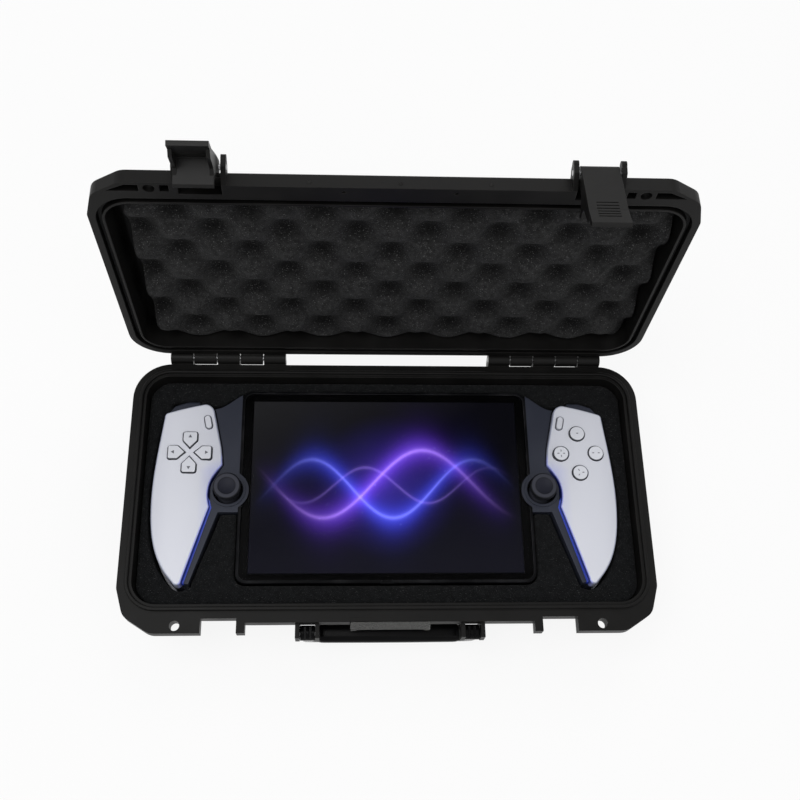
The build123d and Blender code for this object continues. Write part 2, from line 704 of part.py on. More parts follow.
def latch():
    """Snap latch drawn shut at the right: barrel, plate, cheeks, hook and thumb lines."""
    half = LATCH_WIDTH / 2
    x0 = LATCH_X - half
    x1 = LATCH_X + half
    y_out = LATCH_Y - LATCH_BARREL
    y_in = y_out + LATCH_PLATE
    end = LATCH_Z - LATCH_LENGTH
    plate = profile(
        [
            (y_out, LATCH_Z),
            (y_out - 0.5, LATCH_Z - 12),
            (y_out - 0.2, end + 10),
            (y_out - 1.8, end + 0.6),
            (y_out - 1.2, end),
            (y_out + 0.7, end),
            (y_in - 0.2, end + 10),
            (y_in, LATCH_Z),
        ],
        x0,
        x1,
    )
    barrel = disc_x(LATCH_Y, LATCH_Z, LATCH_BARREL, x0, x1)
    hook_top = BASE_HEIGHT - RIM_BAND - 0.4
    hook_low = hook_top - LATCH_HOOK_THICK
    tip = FRONT_Y + LATCH_HOOK
    hook = profile(
        [
            (y_out + 0.5, hook_low),
            (tip - 1.2, hook_low),
            (tip, hook_low + 1.4),
            (tip, hook_top),
            (FRONT_Y - 1.6, hook_top),
            (FRONT_Y - 2.4, hook_top + 0.8),
            (y_out + 0.5, hook_top + 0.8),
        ],
        x0,
        x1,
    )
    cheek_points = [
        (y_out + 0.3, LATCH_Z),
        (y_out + 0.1, end + 4),
        (y_in + 2.2, end + 6),
        (y_in + 5.0, hook_low - 1),
        (FRONT_Y - 2.4, hook_low + 0.5),
        (FRONT_Y - 2.4, hook_top + 0.8),
        (y_in + 5.2, hook_top + 5),
        (LATCH_Y + LATCH_BARREL - 0.2, LATCH_Z),
    ]
    body = plate + barrel + hook
    body += profile(cheek_points, x0, x0 + LATCH_CHEEK)
    body += profile(cheek_points, x1 - LATCH_CHEEK, x1)
    return body - thumb_lines(plate, x0, x1, end) - latch_bore(x0, x1)


def thumb_lines(plate, x0, x1, end):
    """Shallow grooves across the free end of a latch plate."""
    shallow = plate & Pos(0, THUMB_LINE_DEPTH, 0) * plate
    skin = plate - shallow
    lines = None
    for i in range(THUMB_LINES):
        z = end + THUMB_LINE_START + THUMB_LINE_PITCH * i
        y0 = LATCH_Y - LATCH_BARREL - LATCH_PLATE
        y1 = y0 + 2 * LATCH_PLATE
        line = box_between(x0 + THUMB_LINE_IN, x1 - THUMB_LINE_IN, y0, y1, z, z + THUMB_LINE_WIDTH)
        lines = line if lines is None else lines + line
    return skin & lines


def latch_bore(x0, x1):
    """Bore for the latch pin."""
    return disc_x(LATCH_Y, LATCH_Z, LATCH_PIN_RADIUS + PIN_SLIP, x0 - PAST, x1 + PAST)


def latch_pin():
    """Steel pin of the right latch."""
    half = LATCH_GAP / 2 + LATCH_EAR_GAP + LATCH_EAR
    return disc_x(LATCH_Y, LATCH_Z, LATCH_PIN_RADIUS - PIN_EASE, LATCH_X - half, LATCH_X + half)


def cover_outline():
    """Plan of the right grip's front cover."""
    outer = Spline((131.4, 45.0), (135.4, 9.0), (135.6, -14.0), (130.6, -39.5), (120.6, -54.8))
    tip = ThreePointArc((120.6, -54.8), (117.8, -56.6), (115.2, -53.8))
    arm = Line((115.2, -53.8), (102.2, -10.4))
    hollow = ThreePointArc((102.2, -10.4), (103.4, -1.0), (100.8, 8.2))
    shoulder = Line((100.8, 8.2), (96.2, 16.0))
    inside = Line((96.2, 16.0), (97.2, 26.0))
    rise = Line((97.2, 26.0), (102.2, 48.6))
    corner = ThreePointArc((102.2, 48.6), (104.9, 52.6), (109.9, 52.8))
    top = Line((109.9, 52.8), (129.2, 47.8))
    shoulder_out = ThreePointArc((129.2, 47.8), (130.8, 46.9), (131.4, 45.0))
    return make_face(outer + tip + arm + hollow + shoulder + inside + rise + corner + top + shoulder_out)


def neck_outline():
    """Plan of the dark part between the cover and the screen."""
    edge = Spline((86.0, 60.6), (91.0, 57.2), (97.0, 53.0), (105.0, 51.4))
    under = Polyline((105.0, 51.4), (108.0, 40.0), (106.0, -10.0), (116.4, -54.6), (112.0, -55.2))
    low = Polyline((112.0, -55.2), (97.6, -13.0), (86.0, -13.0), (86.0, 60.6))
    neck = make_face(edge + under + low)
    return neck + Pos(STICK_X, STICK_Y) * Circle(STICK_BOSS_RADIUS)


def back_outline(share_x=1.0, share_y=1.0, shift=0.0):
    """Plan of the rear shell of the right grip, drawn in by a share each way about its middle."""

    def at(x, y):
        across = BACK_MIDDLE[0] + shift + share_x * (x - BACK_MIDDLE[0])
        return (across, BACK_MIDDLE[1] + share_y * (y - BACK_MIDDLE[1]))

    outer = Spline(at(132.6, 45.6), at(136.7, 9.0), at(136.9, -14.0), at(131.8, -40.1), at(121.4, -55.8))
    tip = Spline(at(121.4, -55.8), at(117.0, -57.6), at(111.4, -56.2))
    arm = Line(at(111.4, -56.2), at(97.0, -14.5))
    inside = Line(at(97.0, -14.5), at(95.0, 40.0))
    top = Polyline(at(95.0, 40.0), at(103.8, 53.8), at(129.8, 49.2), at(132.6, 45.6))
    return make_face(outer + tip + arm + inside + top)


def inner_plan(plan, inset):
    """Smooth outline that runs a wall's thickness inside a plan."""
    wire = offset(plan, -inset).wire()
    points = [wire.position_at(i / 60) for i in range(60)]
    return make_face(Spline(*points, periodic=True))


def in_case(shape):
    """Moves a console piece from its own centre to its place in the case."""
    return Pos(CONSOLE_X, CONSOLE_Y, CONSOLE_FLOOR) * shape


def crown(drop):
    """Long cylinder whose top is the curve of the grip cover, lowered by a drop."""
    radius = COVER_CURVE - drop
    return rod_y(COVER_CURVE_X, COVER_CROWN - COVER_CURVE, radius, -90, 90)


def cover_height(x):
    """Height of the cover's crown at a place across the grip."""
    return COVER_CROWN - COVER_CURVE + math.sqrt(COVER_CURVE**2 - (x - COVER_CURVE_X) ** 2)


def key_plan(angle, grow):
    """House-shaped direction key that points in toward the middle of the four."""
    w = DIRECTION_HALF + grow
    near = DIRECTION_NEAR - grow * math.hypot(DIRECTION_HALF, DIRECTION_POINT) / DIRECTION_HALF
    far = DIRECTION_FAR + grow
    side = DIRECTION_NEAR + DIRECTION_POINT
    tip = make_face(Polyline((0, near), (w, side), (w, far), (-w, far), (-w, side), close=True))
    soft = tip.vertices().filter_by(lambda v: v.Y > DIRECTION_NEAR + DIRECTION_POINT / 2)
    tip = fillet(soft, DIRECTION_CORNER + grow)
    return Pos(KEYS_X, KEYS_Y) * Rot(0, 0, angle) * tip


def face_plan(dx, dy, grow):
    """Round face button, placed round the middle of the four."""
    return Pos(KEYS_X + dx, KEYS_Y + dy) * Circle(FACE_RADIUS + grow)


def menu_plan(grow):
    """Small long button near the top inner corner of the cover."""
    slot = SlotOverall(MENU_LENGTH + 2 * grow, MENU_WIDTH + 2 * grow, rotation=90)
    return Pos(MENU_X, MENU_Y) * Rot(0, 0, -MENU_TURN_DEG) * slot


BACK_MIDDLE = (116.9, -1.7)
KEY_ANGLES = {"up": 0, "left": 90, "down": 180, "right": 270}
FACE_PLACES = {
    "up": (0, FACE_STEP_Y),
    "left": (-FACE_STEP_X, 0),
    "down": (0, -FACE_STEP_Y),
    "right": (FACE_STEP_X, 0),
}


def key_solid(plan, x):
    """Key that stands proud of the cover's crown, with a soft top edge."""
    top = cover_height(x) + KEY_PROUD
    body = Pos(0, 0, KEY_REST) * extrude(plan, top - KEY_REST)
    return fillet(body.faces().sort_by(Axis.Z)[-1].edges(), KEY_ROUND)


def bumper_plan(grow):
    """Plan of the shoulder button at the back of the right grip."""
    points = [
        (111.6 - grow, 49.2 - grow),
        (128.8 + grow, 44.7 - grow),
        (129.4 + grow, 48.4),
        (125.6 + grow, 53.8 + grow),
        (118.6, 56.2 + grow),
        (111.6 - grow, 56.2 + grow),
    ]
    return make_face(Polyline(*points, close=True))


def bumper():
    """Shoulder button of the right grip."""
    middle = BUMPER_LOW + BUMPER_HEIGHT / 2
    body = Pos(0, 0, BUMPER_LOW) * extrude(bumper_plan(0), BUMPER_HEIGHT)
    soft = body.edges().filter_by(lambda e: e.center().Y > BUMPER_SOFT_Y)
    soft = soft.filter_by(lambda e: abs(e.center().Z - middle) > BUMPER_HEIGHT / 2 - PIN_EASE)
    return fillet(soft, BUMPER_ROUND)


def bumper_room():
    """Room in the grip for the shoulder button and its travel."""
    room = Pos(0, 0, BUMPER_LOW - KEY_FIT) * extrude(bumper_plan(KEY_FIT), BUMPER_HEIGHT + 2 * KEY_FIT)
    return room + Pos(0, -BUMPER_TRAVEL - TURN_GAP, 0) * room


def trigger():
    """Trigger of the right grip: a curved finger blade on a barrel."""
    x0 = TRIGGER_X - TRIGGER_LENGTH / 2
    x1 = TRIGGER_X + TRIGGER_LENGTH / 2
    front = Spline((0, 0.8, 25.2), (0, 6.0, 21.4), (0, 7.4, 12.0), (0, 6.6, 5.0))
    lip = Line((0, 6.6, 5.0), (0, 4.6, 5.6))
    back = Spline((0, 4.6, 5.6), (0, 4.6, 12.0), (0, 3.2, 18.4), (0, 0, 20.8))
    close = Line((0, 0, 20.8), (0, 0.8, 25.2))
    side = make_face(front + lip + back + close)
    blade = Pos(x0, TRIGGER_PIVOT_Y, 0) * extrude(side, TRIGGER_LENGTH, dir=(1, 0, 0))
    barrel = disc_x(TRIGGER_PIVOT_Y, TRIGGER_PIVOT_Z, TRIGGER_BARREL, x0, x1)
    slip = TRIGGER_PIN_RADIUS + PIN_SLIP
    bore = disc_x(TRIGGER_PIVOT_Y, TRIGGER_PIVOT_Z, slip, x0 - PAST, x1 + PAST)
    return blade + barrel - bore


def trigger_pin():
    """Pin of the right trigger."""
    half = TRIGGER_LENGTH / 2 + TRIGGER_PIN_END
    radius = TRIGGER_PIN_RADIUS - PIN_EASE
    return disc_x(TRIGGER_PIVOT_Y, TRIGGER_PIVOT_Z, radius, TRIGGER_X - half, TRIGGER_X + half)


def trigger_room():
    """Room in the grip for the trigger and its swing."""
    half = TRIGGER_LENGTH / 2 + TRIGGER_GAP
    deep = TRIGGER_PIVOT_Y - TRIGGER_ROOM_DEEP
    high = TRIGGER_PIVOT_Z + TRIGGER_ROOM_RISE
    room = box_between(TRIGGER_X - half, TRIGGER_X + half, deep, TABLET_WIDTH / 2, -PAST, high)
    half = TRIGGER_LENGTH / 2 + TRIGGER_PIN_END
    pin = disc_x(TRIGGER_PIVOT_Y, TRIGGER_PIVOT_Z, TRIGGER_PIN_RADIUS, TRIGGER_X - half, TRIGGER_X + half)
    return room + pin


def grip_cover(holes):
    """Front cover of the right grip: a crowned shell with holes for its keys."""
    plan = cover_outline()
    height = STICK_TOP - GRIP_PLATE
    block = Pos(0, 0, GRIP_PLATE) * extrude(plan, height)
    skin = block & crown(0)
    rim = skin.edges().filter_by(lambda e: e.center().Z > GRIP_PLATE + COVER_ROUND)
    skin = fillet(rim, COVER_ROUND)
    hollow = Pos(0, 0, GRIP_PLATE) * extrude(inner_plan(plan, COVER_WALL), height)
    skin -= hollow & crown(COVER_WALL)
    for hole in holes:
        skin -= Pos(0, 0, GRIP_PLATE + ROOT) * extrude(hole, height)
    return skin - bumper_room()


def stick_post(radius, z0, z1):
    """Upright cylinder on the centre of the right thumbstick."""
    return Pos(STICK_X, STICK_Y, (z0 + z1) / 2) * Cylinder(radius, z1 - z0)


def grip_frame():
    """Dark middle frame of the right grip with the stick housing."""
    plate = Pos(0, 0, GRIP_SPLIT) * extrude(cover_outline() + neck_outline(), GRIP_PLATE - GRIP_SPLIT)
    upper = neck_outline() - offset(cover_outline(), STRIP_WIDTH)
    plate += Pos(0, 0, GRIP_PLATE) * extrude(upper, NECK_TOP - GRIP_PLATE)
    plate += stick_post(STICK_BOSS_RADIUS - STICK_RING_IN, GRIP_PLATE, NECK_TOP + STICK_RING_RISE)
    plate -= tablet_block(0.0) - stick_post(STICK_BOSS_RADIUS, 0, STICK_TOP)
    plate -= stick_post(STICK_WELL_RADIUS, STICK_PIVOT, STICK_TOP)
    cavity_top = STICK_PIVOT + YOKE_ROOM_RISE
    low = GRIP_SPLIT + ROOT
    plate -= stick_post(YOKE_ROOM, low, cavity_top)
    reach = YOKE_STUB_END + STUB_FIT
    plate -= disc_x(STICK_Y, STICK_PIVOT, YOKE_STUB_RADIUS + STUB_FIT, STICK_X - reach, STICK_X + reach)
    return plate - frame_room() - bumper_room() - trigger_room()


def frame_room():
    """Hollow inside the frame, clear of the stick housing and the trigger seat."""
    height = GRIP_PLATE - COVER_WALL - GRIP_SPLIT
    room = Pos(0, 0, GRIP_SPLIT) * extrude(inner_plan(cover_outline(), COVER_WALL), height)
    room -= stick_post(STICK_BOSS_RADIUS + STICK_RING_IN, 0, STICK_TOP)
    half = TRIGGER_LENGTH / 2 + TRIGGER_SEAT
    deep = TRIGGER_PIVOT_Y - TRIGGER_SEAT_DEEP
    return room - box_between(TRIGGER_X - half, TRIGGER_X + half, deep, TABLET_WIDTH, 0, STICK_TOP)


def light_strip():
    """Thin coloured strip between the cover and the dark neck."""
    band = offset(cover_outline(), STRIP_WIDTH) - cover_outline()
    band = band & neck_outline()
    strip = Pos(0, 0, GRIP_PLATE) * extrude(band, NECK_TOP + TURN_GAP - GRIP_PLATE)
    strip -= stick_post(STICK_BOSS_RADIUS + STUB_FIT, 0, STICK_TOP)
    strip -= bumper_room()
    return max(strip.solids(), key=lambda s: s.volume)


def grip_back():
    """Rear shell of the right grip, narrowing toward the back."""
    body = loft([Pos(0, 0, GRIP_SPLIT) * back_outline(), back_outline(0.66, 0.82, 1.5)])
    wide = Pos(0, 0, GRIP_SPLIT) * back_outline(0.87, 0.95)
    narrow = Pos(0, 0, COVER_WALL) * back_outline(0.56, 0.77, 1.4)
    return body - loft([wide, narrow]) - trigger_room()


def stick():
    """Thumbstick of the right grip: dished cap, neck, dome and two side stubs."""
    cap_low = STICK_TOP - STICK_CAP_THICK
    cap = stick_post(STICK_CAP_RADIUS, cap_low, STICK_TOP)
    cap = fillet(cap.edges().filter_by(GeomType.CIRCLE), STICK_CAP_ROUND)
    dish_z = STICK_TOP + STICK_DISH_RADIUS - STICK_DISH_DEPTH
    cap -= Pos(STICK_X, STICK_Y, dish_z) * Sphere(STICK_DISH_RADIUS)
    cap += stick_post(STICK_NECK_RADIUS, STICK_PIVOT, cap_low + ROOT)
    dome = Pos(STICK_X, STICK_Y, STICK_PIVOT) * Sphere(STICK_DOME_RADIUS)
    dome -= stick_post(2 * STICK_DOME_RADIUS, 0, STICK_PIVOT - STICK_DOME_CUT)
    cap += dome
    stub = YOKE_OUTER - TURN_GAP
    cap += rod_y(STICK_X, STICK_PIVOT, YOKE_STUB_RADIUS, STICK_Y - stub, STICK_Y + stub)
    return cap


def stick_yoke():
    """Ring that carries a thumbstick and rocks in the housing."""
    low = STICK_PIVOT - YOKE_HEIGHT / 2
    high = STICK_PIVOT + YOKE_HEIGHT / 2
    yoke = disc_x(STICK_Y, STICK_PIVOT, YOKE_STUB_RADIUS, STICK_X - YOKE_STUB_END, STICK_X + YOKE_STUB_END)
    yoke += stick_post(YOKE_OUTER, low, high)
    yoke -= stick_post(YOKE_INNER, low - PAST, high + PAST)
    radius = YOKE_STUB_RADIUS + STUB_FIT
    return yoke - rod_y(STICK_X, STICK_PIVOT, radius, STICK_Y - YOKE_STUB_END, STICK_Y + YOKE_STUB_END)


def tablet_plan(inset):
    corner = TABLET_CORNER - inset / 2
    return Pos(0, TABLET_Y) * RectangleRounded(TABLET_LENGTH - 2 * inset, TABLET_WIDTH - 2 * inset, corner)


def tablet_block(grow):
    """Space that the screen unit takes up between the grips."""
    plan = tablet_plan(-grow)
    return Pos(0, 0, TABLET_FLOOR) * extrude(plan, TABLET_TOP + PAST - TABLET_FLOOR)


def stick_notches():
    """Round bites in the screen unit where the stick housings overlap it."""
    return both_sides(stick_post(STICK_BOSS_RADIUS + STUB_FIT, 0, STICK_TOP))


def tablet_back():
    """Rear tray of the screen unit."""
    tray = Pos(0, 0, TABLET_FLOOR) * extrude(tablet_plan(0), TABLET_SPLIT - TABLET_FLOOR)
    tray = fillet(tray.faces().sort_by(Axis.Z)[0].edges(), TABLET_ROUND)
    room = Pos(0, 0, TABLET_FLOOR + TABLET_WALL) * extrude(tablet_plan(TABLET_WALL), TABLET_SPLIT)
    tray -= room - thick_bites()
    return tray - stick_notches()


def thick_bites():
    """Walls left round the stick bites inside the rear tray."""
    return both_sides(stick_post(STICK_BOSS_RADIUS + TABLET_WALL, 0, 2 * STICK_TOP))


def tablet_frame():
    """Front bezel of the screen unit with a seat for the glass."""
    frame = Pos(0, 0, TABLET_SPLIT) * extrude(tablet_plan(0), TABLET_TOP - TABLET_SPLIT)
    frame = fillet(frame.faces().sort_by(Axis.Z)[-1].edges(), EDGE_ROUND)
    seat = Pos(0, 0, TABLET_TOP - GLASS_THICK) * extrude(tablet_plan(GLASS_EDGE), GLASS_THICK + PAST)
    window = extrude(Rectangle(DISPLAY_LENGTH, DISPLAY_WIDTH), STICK_TOP)
    window = Pos(0, TABLET_Y, TABLET_SPLIT - PAST) * window
    frame -= seat
    frame -= window
    frame -= thumb_notch(THUMB_NOTCH_RADIUS)
    return frame - stick_notches()


def thumb_notch(radius):
    """Half-moon bite in the front edge of the screen unit."""
    y = TABLET_Y - TABLET_WIDTH / 2 - THUMB_NOTCH_OUT
    return Pos(0, y, TABLET_TOP) * Cylinder(radius, GLASS_THICK)


def screen_glass():
    """Cover glass that lies in the bezel's seat."""
    glass = Pos(0, 0, TABLET_TOP - GLASS_THICK) * extrude(tablet_plan(GLASS_EDGE + STUB_FIT), GLASS_THICK)
    glass -= extrude(thumb_notch(THUMB_NOTCH_RADIUS + STUB_FIT).faces().sort_by(Axis.Z)[-1], -TABLET_TOP)
    return glass - both_sides(stick_post(STICK_BOSS_RADIUS + 2 * STUB_FIT, 0, STICK_TOP))


def display_panel():
    """Display under the glass."""
    z = TABLET_TOP - GLASS_THICK - DISPLAY_THICK
    panel = Box(DISPLAY_LENGTH - 2 * DISPLAY_FIT, DISPLAY_WIDTH - 2 * DISPLAY_FIT, DISPLAY_THICK)
    return Pos(0, TABLET_Y, z + DISPLAY_THICK / 2) * panel


def main_board():
    """Circuit board on the floor of the tray."""
    z = TABLET_FLOOR + TABLET_WALL
    board = Pos(0, BOARD_Y, z + BOARD_THICK / 2) * Box(BOARD_LENGTH, BOARD_WIDTH, BOARD_THICK)
    chip = Box(CHIP_SIDE, CHIP_SIDE, CHIP_THICK)
    top = z + BOARD_THICK + CHIP_THICK / 2
    return board + Pos(-CHIP_SIDE, BOARD_Y, top) * chip + Pos(CHIP_SIDE, BOARD_Y, top) * chip


def battery():
    """Flat battery beside the board."""
    z = TABLET_FLOOR + TABLET_WALL
    cell = Pos(0, BATTERY_Y, z + BATTERY_THICK / 2) * Box(BATTERY_LENGTH, BATTERY_WIDTH, BATTERY_THICK)
    return fillet(cell.edges().filter_by(Axis.Z), TABLET_ROUND)


def console_pocket():
    """Pocket in the base foam that follows the console."""
    blade = Pos(TRIGGER_X, TRIGGER_PIVOT_Y + 4.0) * Rectangle(TRIGGER_LENGTH, 7.0)
    neck = [(84.0, 62.2), (91.0, 58.0), (97.0, 54.2), (105.0, 52.8)]
    neck += [(106.0, -10.0), (97.6, -13.0), (84.0, -13.0)]
    plan = back_outline(1.035, 1.018)
    plan += offset(make_face(Polyline(*neck, close=True)), POCKET_FIT)
    plan += Pos(STICK_X, STICK_Y) * Circle(STICK_BOSS_RADIUS + POCKET_FIT)
    plan += offset(bumper_plan(0), POCKET_FIT)
    plan += offset(blade, POCKET_FIT)
    deep = both_sides(extrude(plan, BASE_HEIGHT))
    flat = Pos(0, 0, TABLET_FLOOR) * extrude(tablet_plan(-POCKET_FIT), BASE_HEIGHT)
    return in_case(deep + flat)


def base_foam():
    """Foam block that fills the base and holds the console."""
    block = tapered(RIM_WIDTH + FOAM_FIT + FOAM_DROP * DRAFT, FOAM_TOP, WALL)
    block = fillet(block.faces().sort_by(Axis.Z)[0].edges(), FLOOR_ROUND - WALL + FOAM_FIT)
    return block - console_pocket()


def save(name, shape):
    export_step(shape, f"parts/{name}.step")
    print(name, "solids", len(shape.solids()), "volume", round(shape.volume, 1), "valid", shape.is_valid)


def save_pair(name, shape):
    """Saves a console piece of the right grip and its mirror at the left."""
    save(f"{name}_right", in_case(shape))
    save(f"{name}_left", in_case(mirrored(shape)))


def build_case():
    save("base_shell", base_shell())
    save("base_foam", base_foam())
    save("label_window", label_window())
    save("handle", handle())
    save("handle_pin_right", handle_pin())
    save("handle_pin_left", mirrored(handle_pin()))
    save("hinge_pin_right", hinge_pin())
    save("hinge_pin_left", mirrored(hinge_pin()))
    save("lid_shell", open_lid(lid_shell()))
    save("lid_seal", open_lid(lid_seal()))
    save("lid_foam", open_lid(lid_foam()))
    one = latch()
    save("latch_right", open_lid(one.rotate(LATCH_LINE, -LATCH_RIGHT_DEG)))
    save("latch_left", open_lid(mirrored(one).rotate(LATCH_LINE, -LATCH_LEFT_DEG)))
    save("latch_pin_right", open_lid(latch_pin()))
    save("latch_pin_left", open_lid(mirrored(latch_pin())))


def build_console():
    save("tablet_back", in_case(tablet_back()))
    save("tablet_frame", in_case(tablet_frame()))
    save("screen_glass", in_case(screen_glass()))
    save("display_panel", in_case(display_panel()))
    save("main_board", in_case(main_board()))
    save("battery", in_case(battery()))
    save_pair("grip_frame", grip_frame())
    save_pair("grip_back", grip_back())
    save_pair("light_strip", light_strip())
    save_pair("stick", stick())
    save_pair("stick_yoke", stick_yoke())
    save_pair("bumper", bumper())
    save_pair("trigger", trigger())
    save_pair("trigger_pin", trigger_pin())
    keys = [key_plan(a, KEY_FIT) for a in KEY_ANGLES.values()]
    faces = [face_plan(*p, KEY_FIT) for p in FACE_PLACES.values()]
    menu = [menu_plan(KEY_FIT)]
    save("grip_cover_right", in_case(grip_cover(faces + menu)))
    save("grip_cover_left", in_case(mirrored(grip_cover(keys + menu))))
    for name, place in FACE_PLACES.items():
        save(f"face_button_{name}", in_case(key_solid(face_plan(*place, 0), KEYS_X + place[0])))
    for name, angle in KEY_ANGLES.items():
        plan = key_plan(angle, 0)
        solid = key_solid(plan, plan.center().X)
        side = {"left": "right", "right": "left"}.get(name, name)
        save(f"direction_key_{side}", in_case(mirrored(solid)))
    save_pair("menu_button", key_solid(menu_plan(0), MENU_X))


if __name__ == "__main__":
    os.makedirs("parts", exist_ok=True)
    build_case()
    build_console()
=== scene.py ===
# %% [markdown]
# An open carry case with a handheld console
#
# The object is a moulded hard case that stands open on a table. A handheld game console
# with two grips lies in its foam. The hard parts come from a finished CAD model, so this
# lesson is about finishes, about the two foam pads, and about the small marks that a
# modeller adds last. Every length below is in millimetres until it is multiplied by MM,
# because Blender works in metres.

# %% Load the frame
import json
import math

import bmesh
import bpy
from mathutils import Matrix, Vector, noise

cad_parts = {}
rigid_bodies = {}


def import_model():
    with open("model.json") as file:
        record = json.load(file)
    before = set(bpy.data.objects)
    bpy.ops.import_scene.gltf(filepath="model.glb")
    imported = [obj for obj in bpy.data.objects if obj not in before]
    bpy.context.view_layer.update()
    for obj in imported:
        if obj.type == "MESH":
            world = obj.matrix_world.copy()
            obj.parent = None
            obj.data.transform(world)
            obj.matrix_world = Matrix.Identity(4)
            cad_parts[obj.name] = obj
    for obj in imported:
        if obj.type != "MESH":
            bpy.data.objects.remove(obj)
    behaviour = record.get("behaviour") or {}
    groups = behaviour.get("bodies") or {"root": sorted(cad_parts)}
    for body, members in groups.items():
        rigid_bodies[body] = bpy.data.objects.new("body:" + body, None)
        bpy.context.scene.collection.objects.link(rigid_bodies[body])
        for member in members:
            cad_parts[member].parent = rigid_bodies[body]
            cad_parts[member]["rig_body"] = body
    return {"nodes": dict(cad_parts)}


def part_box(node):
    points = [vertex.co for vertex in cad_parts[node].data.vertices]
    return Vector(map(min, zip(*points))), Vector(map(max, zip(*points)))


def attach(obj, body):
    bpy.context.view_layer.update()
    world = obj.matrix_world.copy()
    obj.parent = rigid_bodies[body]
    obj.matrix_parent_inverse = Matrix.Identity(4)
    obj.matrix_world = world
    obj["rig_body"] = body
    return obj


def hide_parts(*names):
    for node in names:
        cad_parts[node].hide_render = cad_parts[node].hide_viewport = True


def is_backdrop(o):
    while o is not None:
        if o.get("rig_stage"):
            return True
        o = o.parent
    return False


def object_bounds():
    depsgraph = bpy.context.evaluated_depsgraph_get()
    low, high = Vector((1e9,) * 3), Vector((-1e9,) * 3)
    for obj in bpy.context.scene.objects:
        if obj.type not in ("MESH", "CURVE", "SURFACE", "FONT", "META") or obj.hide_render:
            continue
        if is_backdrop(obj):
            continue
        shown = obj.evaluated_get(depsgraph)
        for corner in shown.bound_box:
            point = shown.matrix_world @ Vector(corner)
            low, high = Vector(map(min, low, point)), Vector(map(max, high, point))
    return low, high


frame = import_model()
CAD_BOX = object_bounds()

NODES = frame["nodes"]
MM = 0.001

# %% [markdown]
# The camera comes first, because every later choice is judged through it. The place and
# the turn were solved from the rim corners of the case, so they are written as a point and
# two directions. A look-at helper would lose the slight roll of a hand-held shot, so the
# matrix is given directly: its columns are right, up and back.

# %% Place the camera
CAMERA_AT = Vector((-26.503, -196.280, 633.265)) * MM
CAMERA_RIGHT = Vector((0.99856989, -0.01639294, 0.05088655))
CAMERA_UP = Vector((-0.00501129, 0.91893742, 0.39437152))
CAMERA_LENS = 47.34

lens = bpy.data.cameras.new("studio_camera")
lens.sensor_width = 36.0
lens.lens = CAMERA_LENS
lens.clip_start = 0.01
lens.clip_end = 20.0
camera = bpy.data.objects.new("studio_camera", lens)
bpy.context.scene.collection.objects.link(camera)
turn = Matrix((CAMERA_RIGHT, CAMERA_UP, CAMERA_RIGHT.cross(CAMERA_UP))).transposed()
camera.matrix_world = Matrix.Translation(CAMERA_AT) @ turn.to_4x4()
bpy.context.scene.camera = camera
bpy.context.scene.view_settings.view_transform = "Standard"
print("camera at", [round(v, 3) for v in CAMERA_AT], "lens", CAMERA_LENS)

# %% [markdown]
# Shader trees are easier to read when a few short helpers do the wiring: they add a node,
# do a sum, start a material, move a value into another range, or mix two colours. Numbers
# that are the same all over a surface go on the shader's own sockets, and only what varies
# is wired.


# %% Helpers for node trees
def add(tree, kind, **settings):
    """New node in a tree, with its properties set."""
    node = tree.nodes.new(kind)
    for name, value in settings.items():
        setattr(node, name, value)
    return node


def feed(tree, socket, value):
    """Gives a socket a number, a vector or a link."""
    if isinstance(value, bpy.types.NodeSocket):
        tree.links.new(value, socket)
    else:
        socket.default_value = value


def calc(tree, operation, *values):
    """Math node with its inputs given in order. Returns its output."""
    node = add(tree, "ShaderNodeMath", operation=operation)
    for socket, value in zip(node.inputs, values):
        feed(tree, socket, value)
    return node.outputs[0]


def fresh(name):
    """New material: itself, its tree and its Principled shader."""
    made = bpy.data.materials.new(name)
    made.use_nodes = True
    return made, made.node_tree, made.node_tree.nodes["Principled BSDF"]


def spread(tree, value, low, high, start=0.0, end=1.0):
    """Moves a value from the range start to end into the range low to high."""
    node = add(tree, "ShaderNodeMapRange")
    limits = (("From Min", start), ("From Max", end), ("To Min", low), ("To Max", high))
    for name, given in (("Value", value), *limits):
        feed(tree, node.inputs[name], given)
    return node.outputs["Result"]


def blend_colours(tree, factor, first, second):
    """Mix of two colours by a factor that varies over the surface."""
    node = add(tree, "ShaderNodeMix", data_type="RGBA")
    feed(tree, node.inputs[0], factor)
    feed(tree, node.inputs[6], first)
    feed(tree, node.inputs[7], second)
    return node.outputs[2]


print("helpers: add, feed, calc, fresh, spread, blend_colours")

# %% [markdown]
# The studio is a pale floor under soft light. Three area lamps and an even sky are set so
# that a colour renders about as it is written. The floor and the sky show a clean white
# to the camera and in reflections, through Light Path, while the lamps stay at their level.


# %% Floor, sky and lamps
def seen_directly(tree):
    """1 for camera, mirror and glass rays, 0 for light that bounces."""
    path = add(tree, "ShaderNodeLightPath")
    mirror = calc(tree, "MAXIMUM", path.outputs["Is Camera Ray"], path.outputs["Is Glossy Ray"])
    return calc(tree, "MAXIMUM", mirror, path.outputs["Is Transmission Ray"])


def lamp(name, place, aim, size, watts):
    """Square area lamp turned toward a point."""
    light = bpy.data.lights.new(name, "AREA")
    light.size = size
    light.energy = watts
    made = bpy.data.objects.new(name, light)
    bpy.context.scene.collection.objects.link(made)
    made.location = place
    made.rotation_euler = (Vector(aim) - Vector(place)).to_track_quat("-Z", "Y").to_euler()
    return made


SKY_LIGHT = 0.34
SKY_SEEN = 0.97
FLOOR_GLOW = 0.88
FLOOR_HALF = 6.0
FLOOR_Z = -0.0003
AIM = (0, 0.05, 0.08)

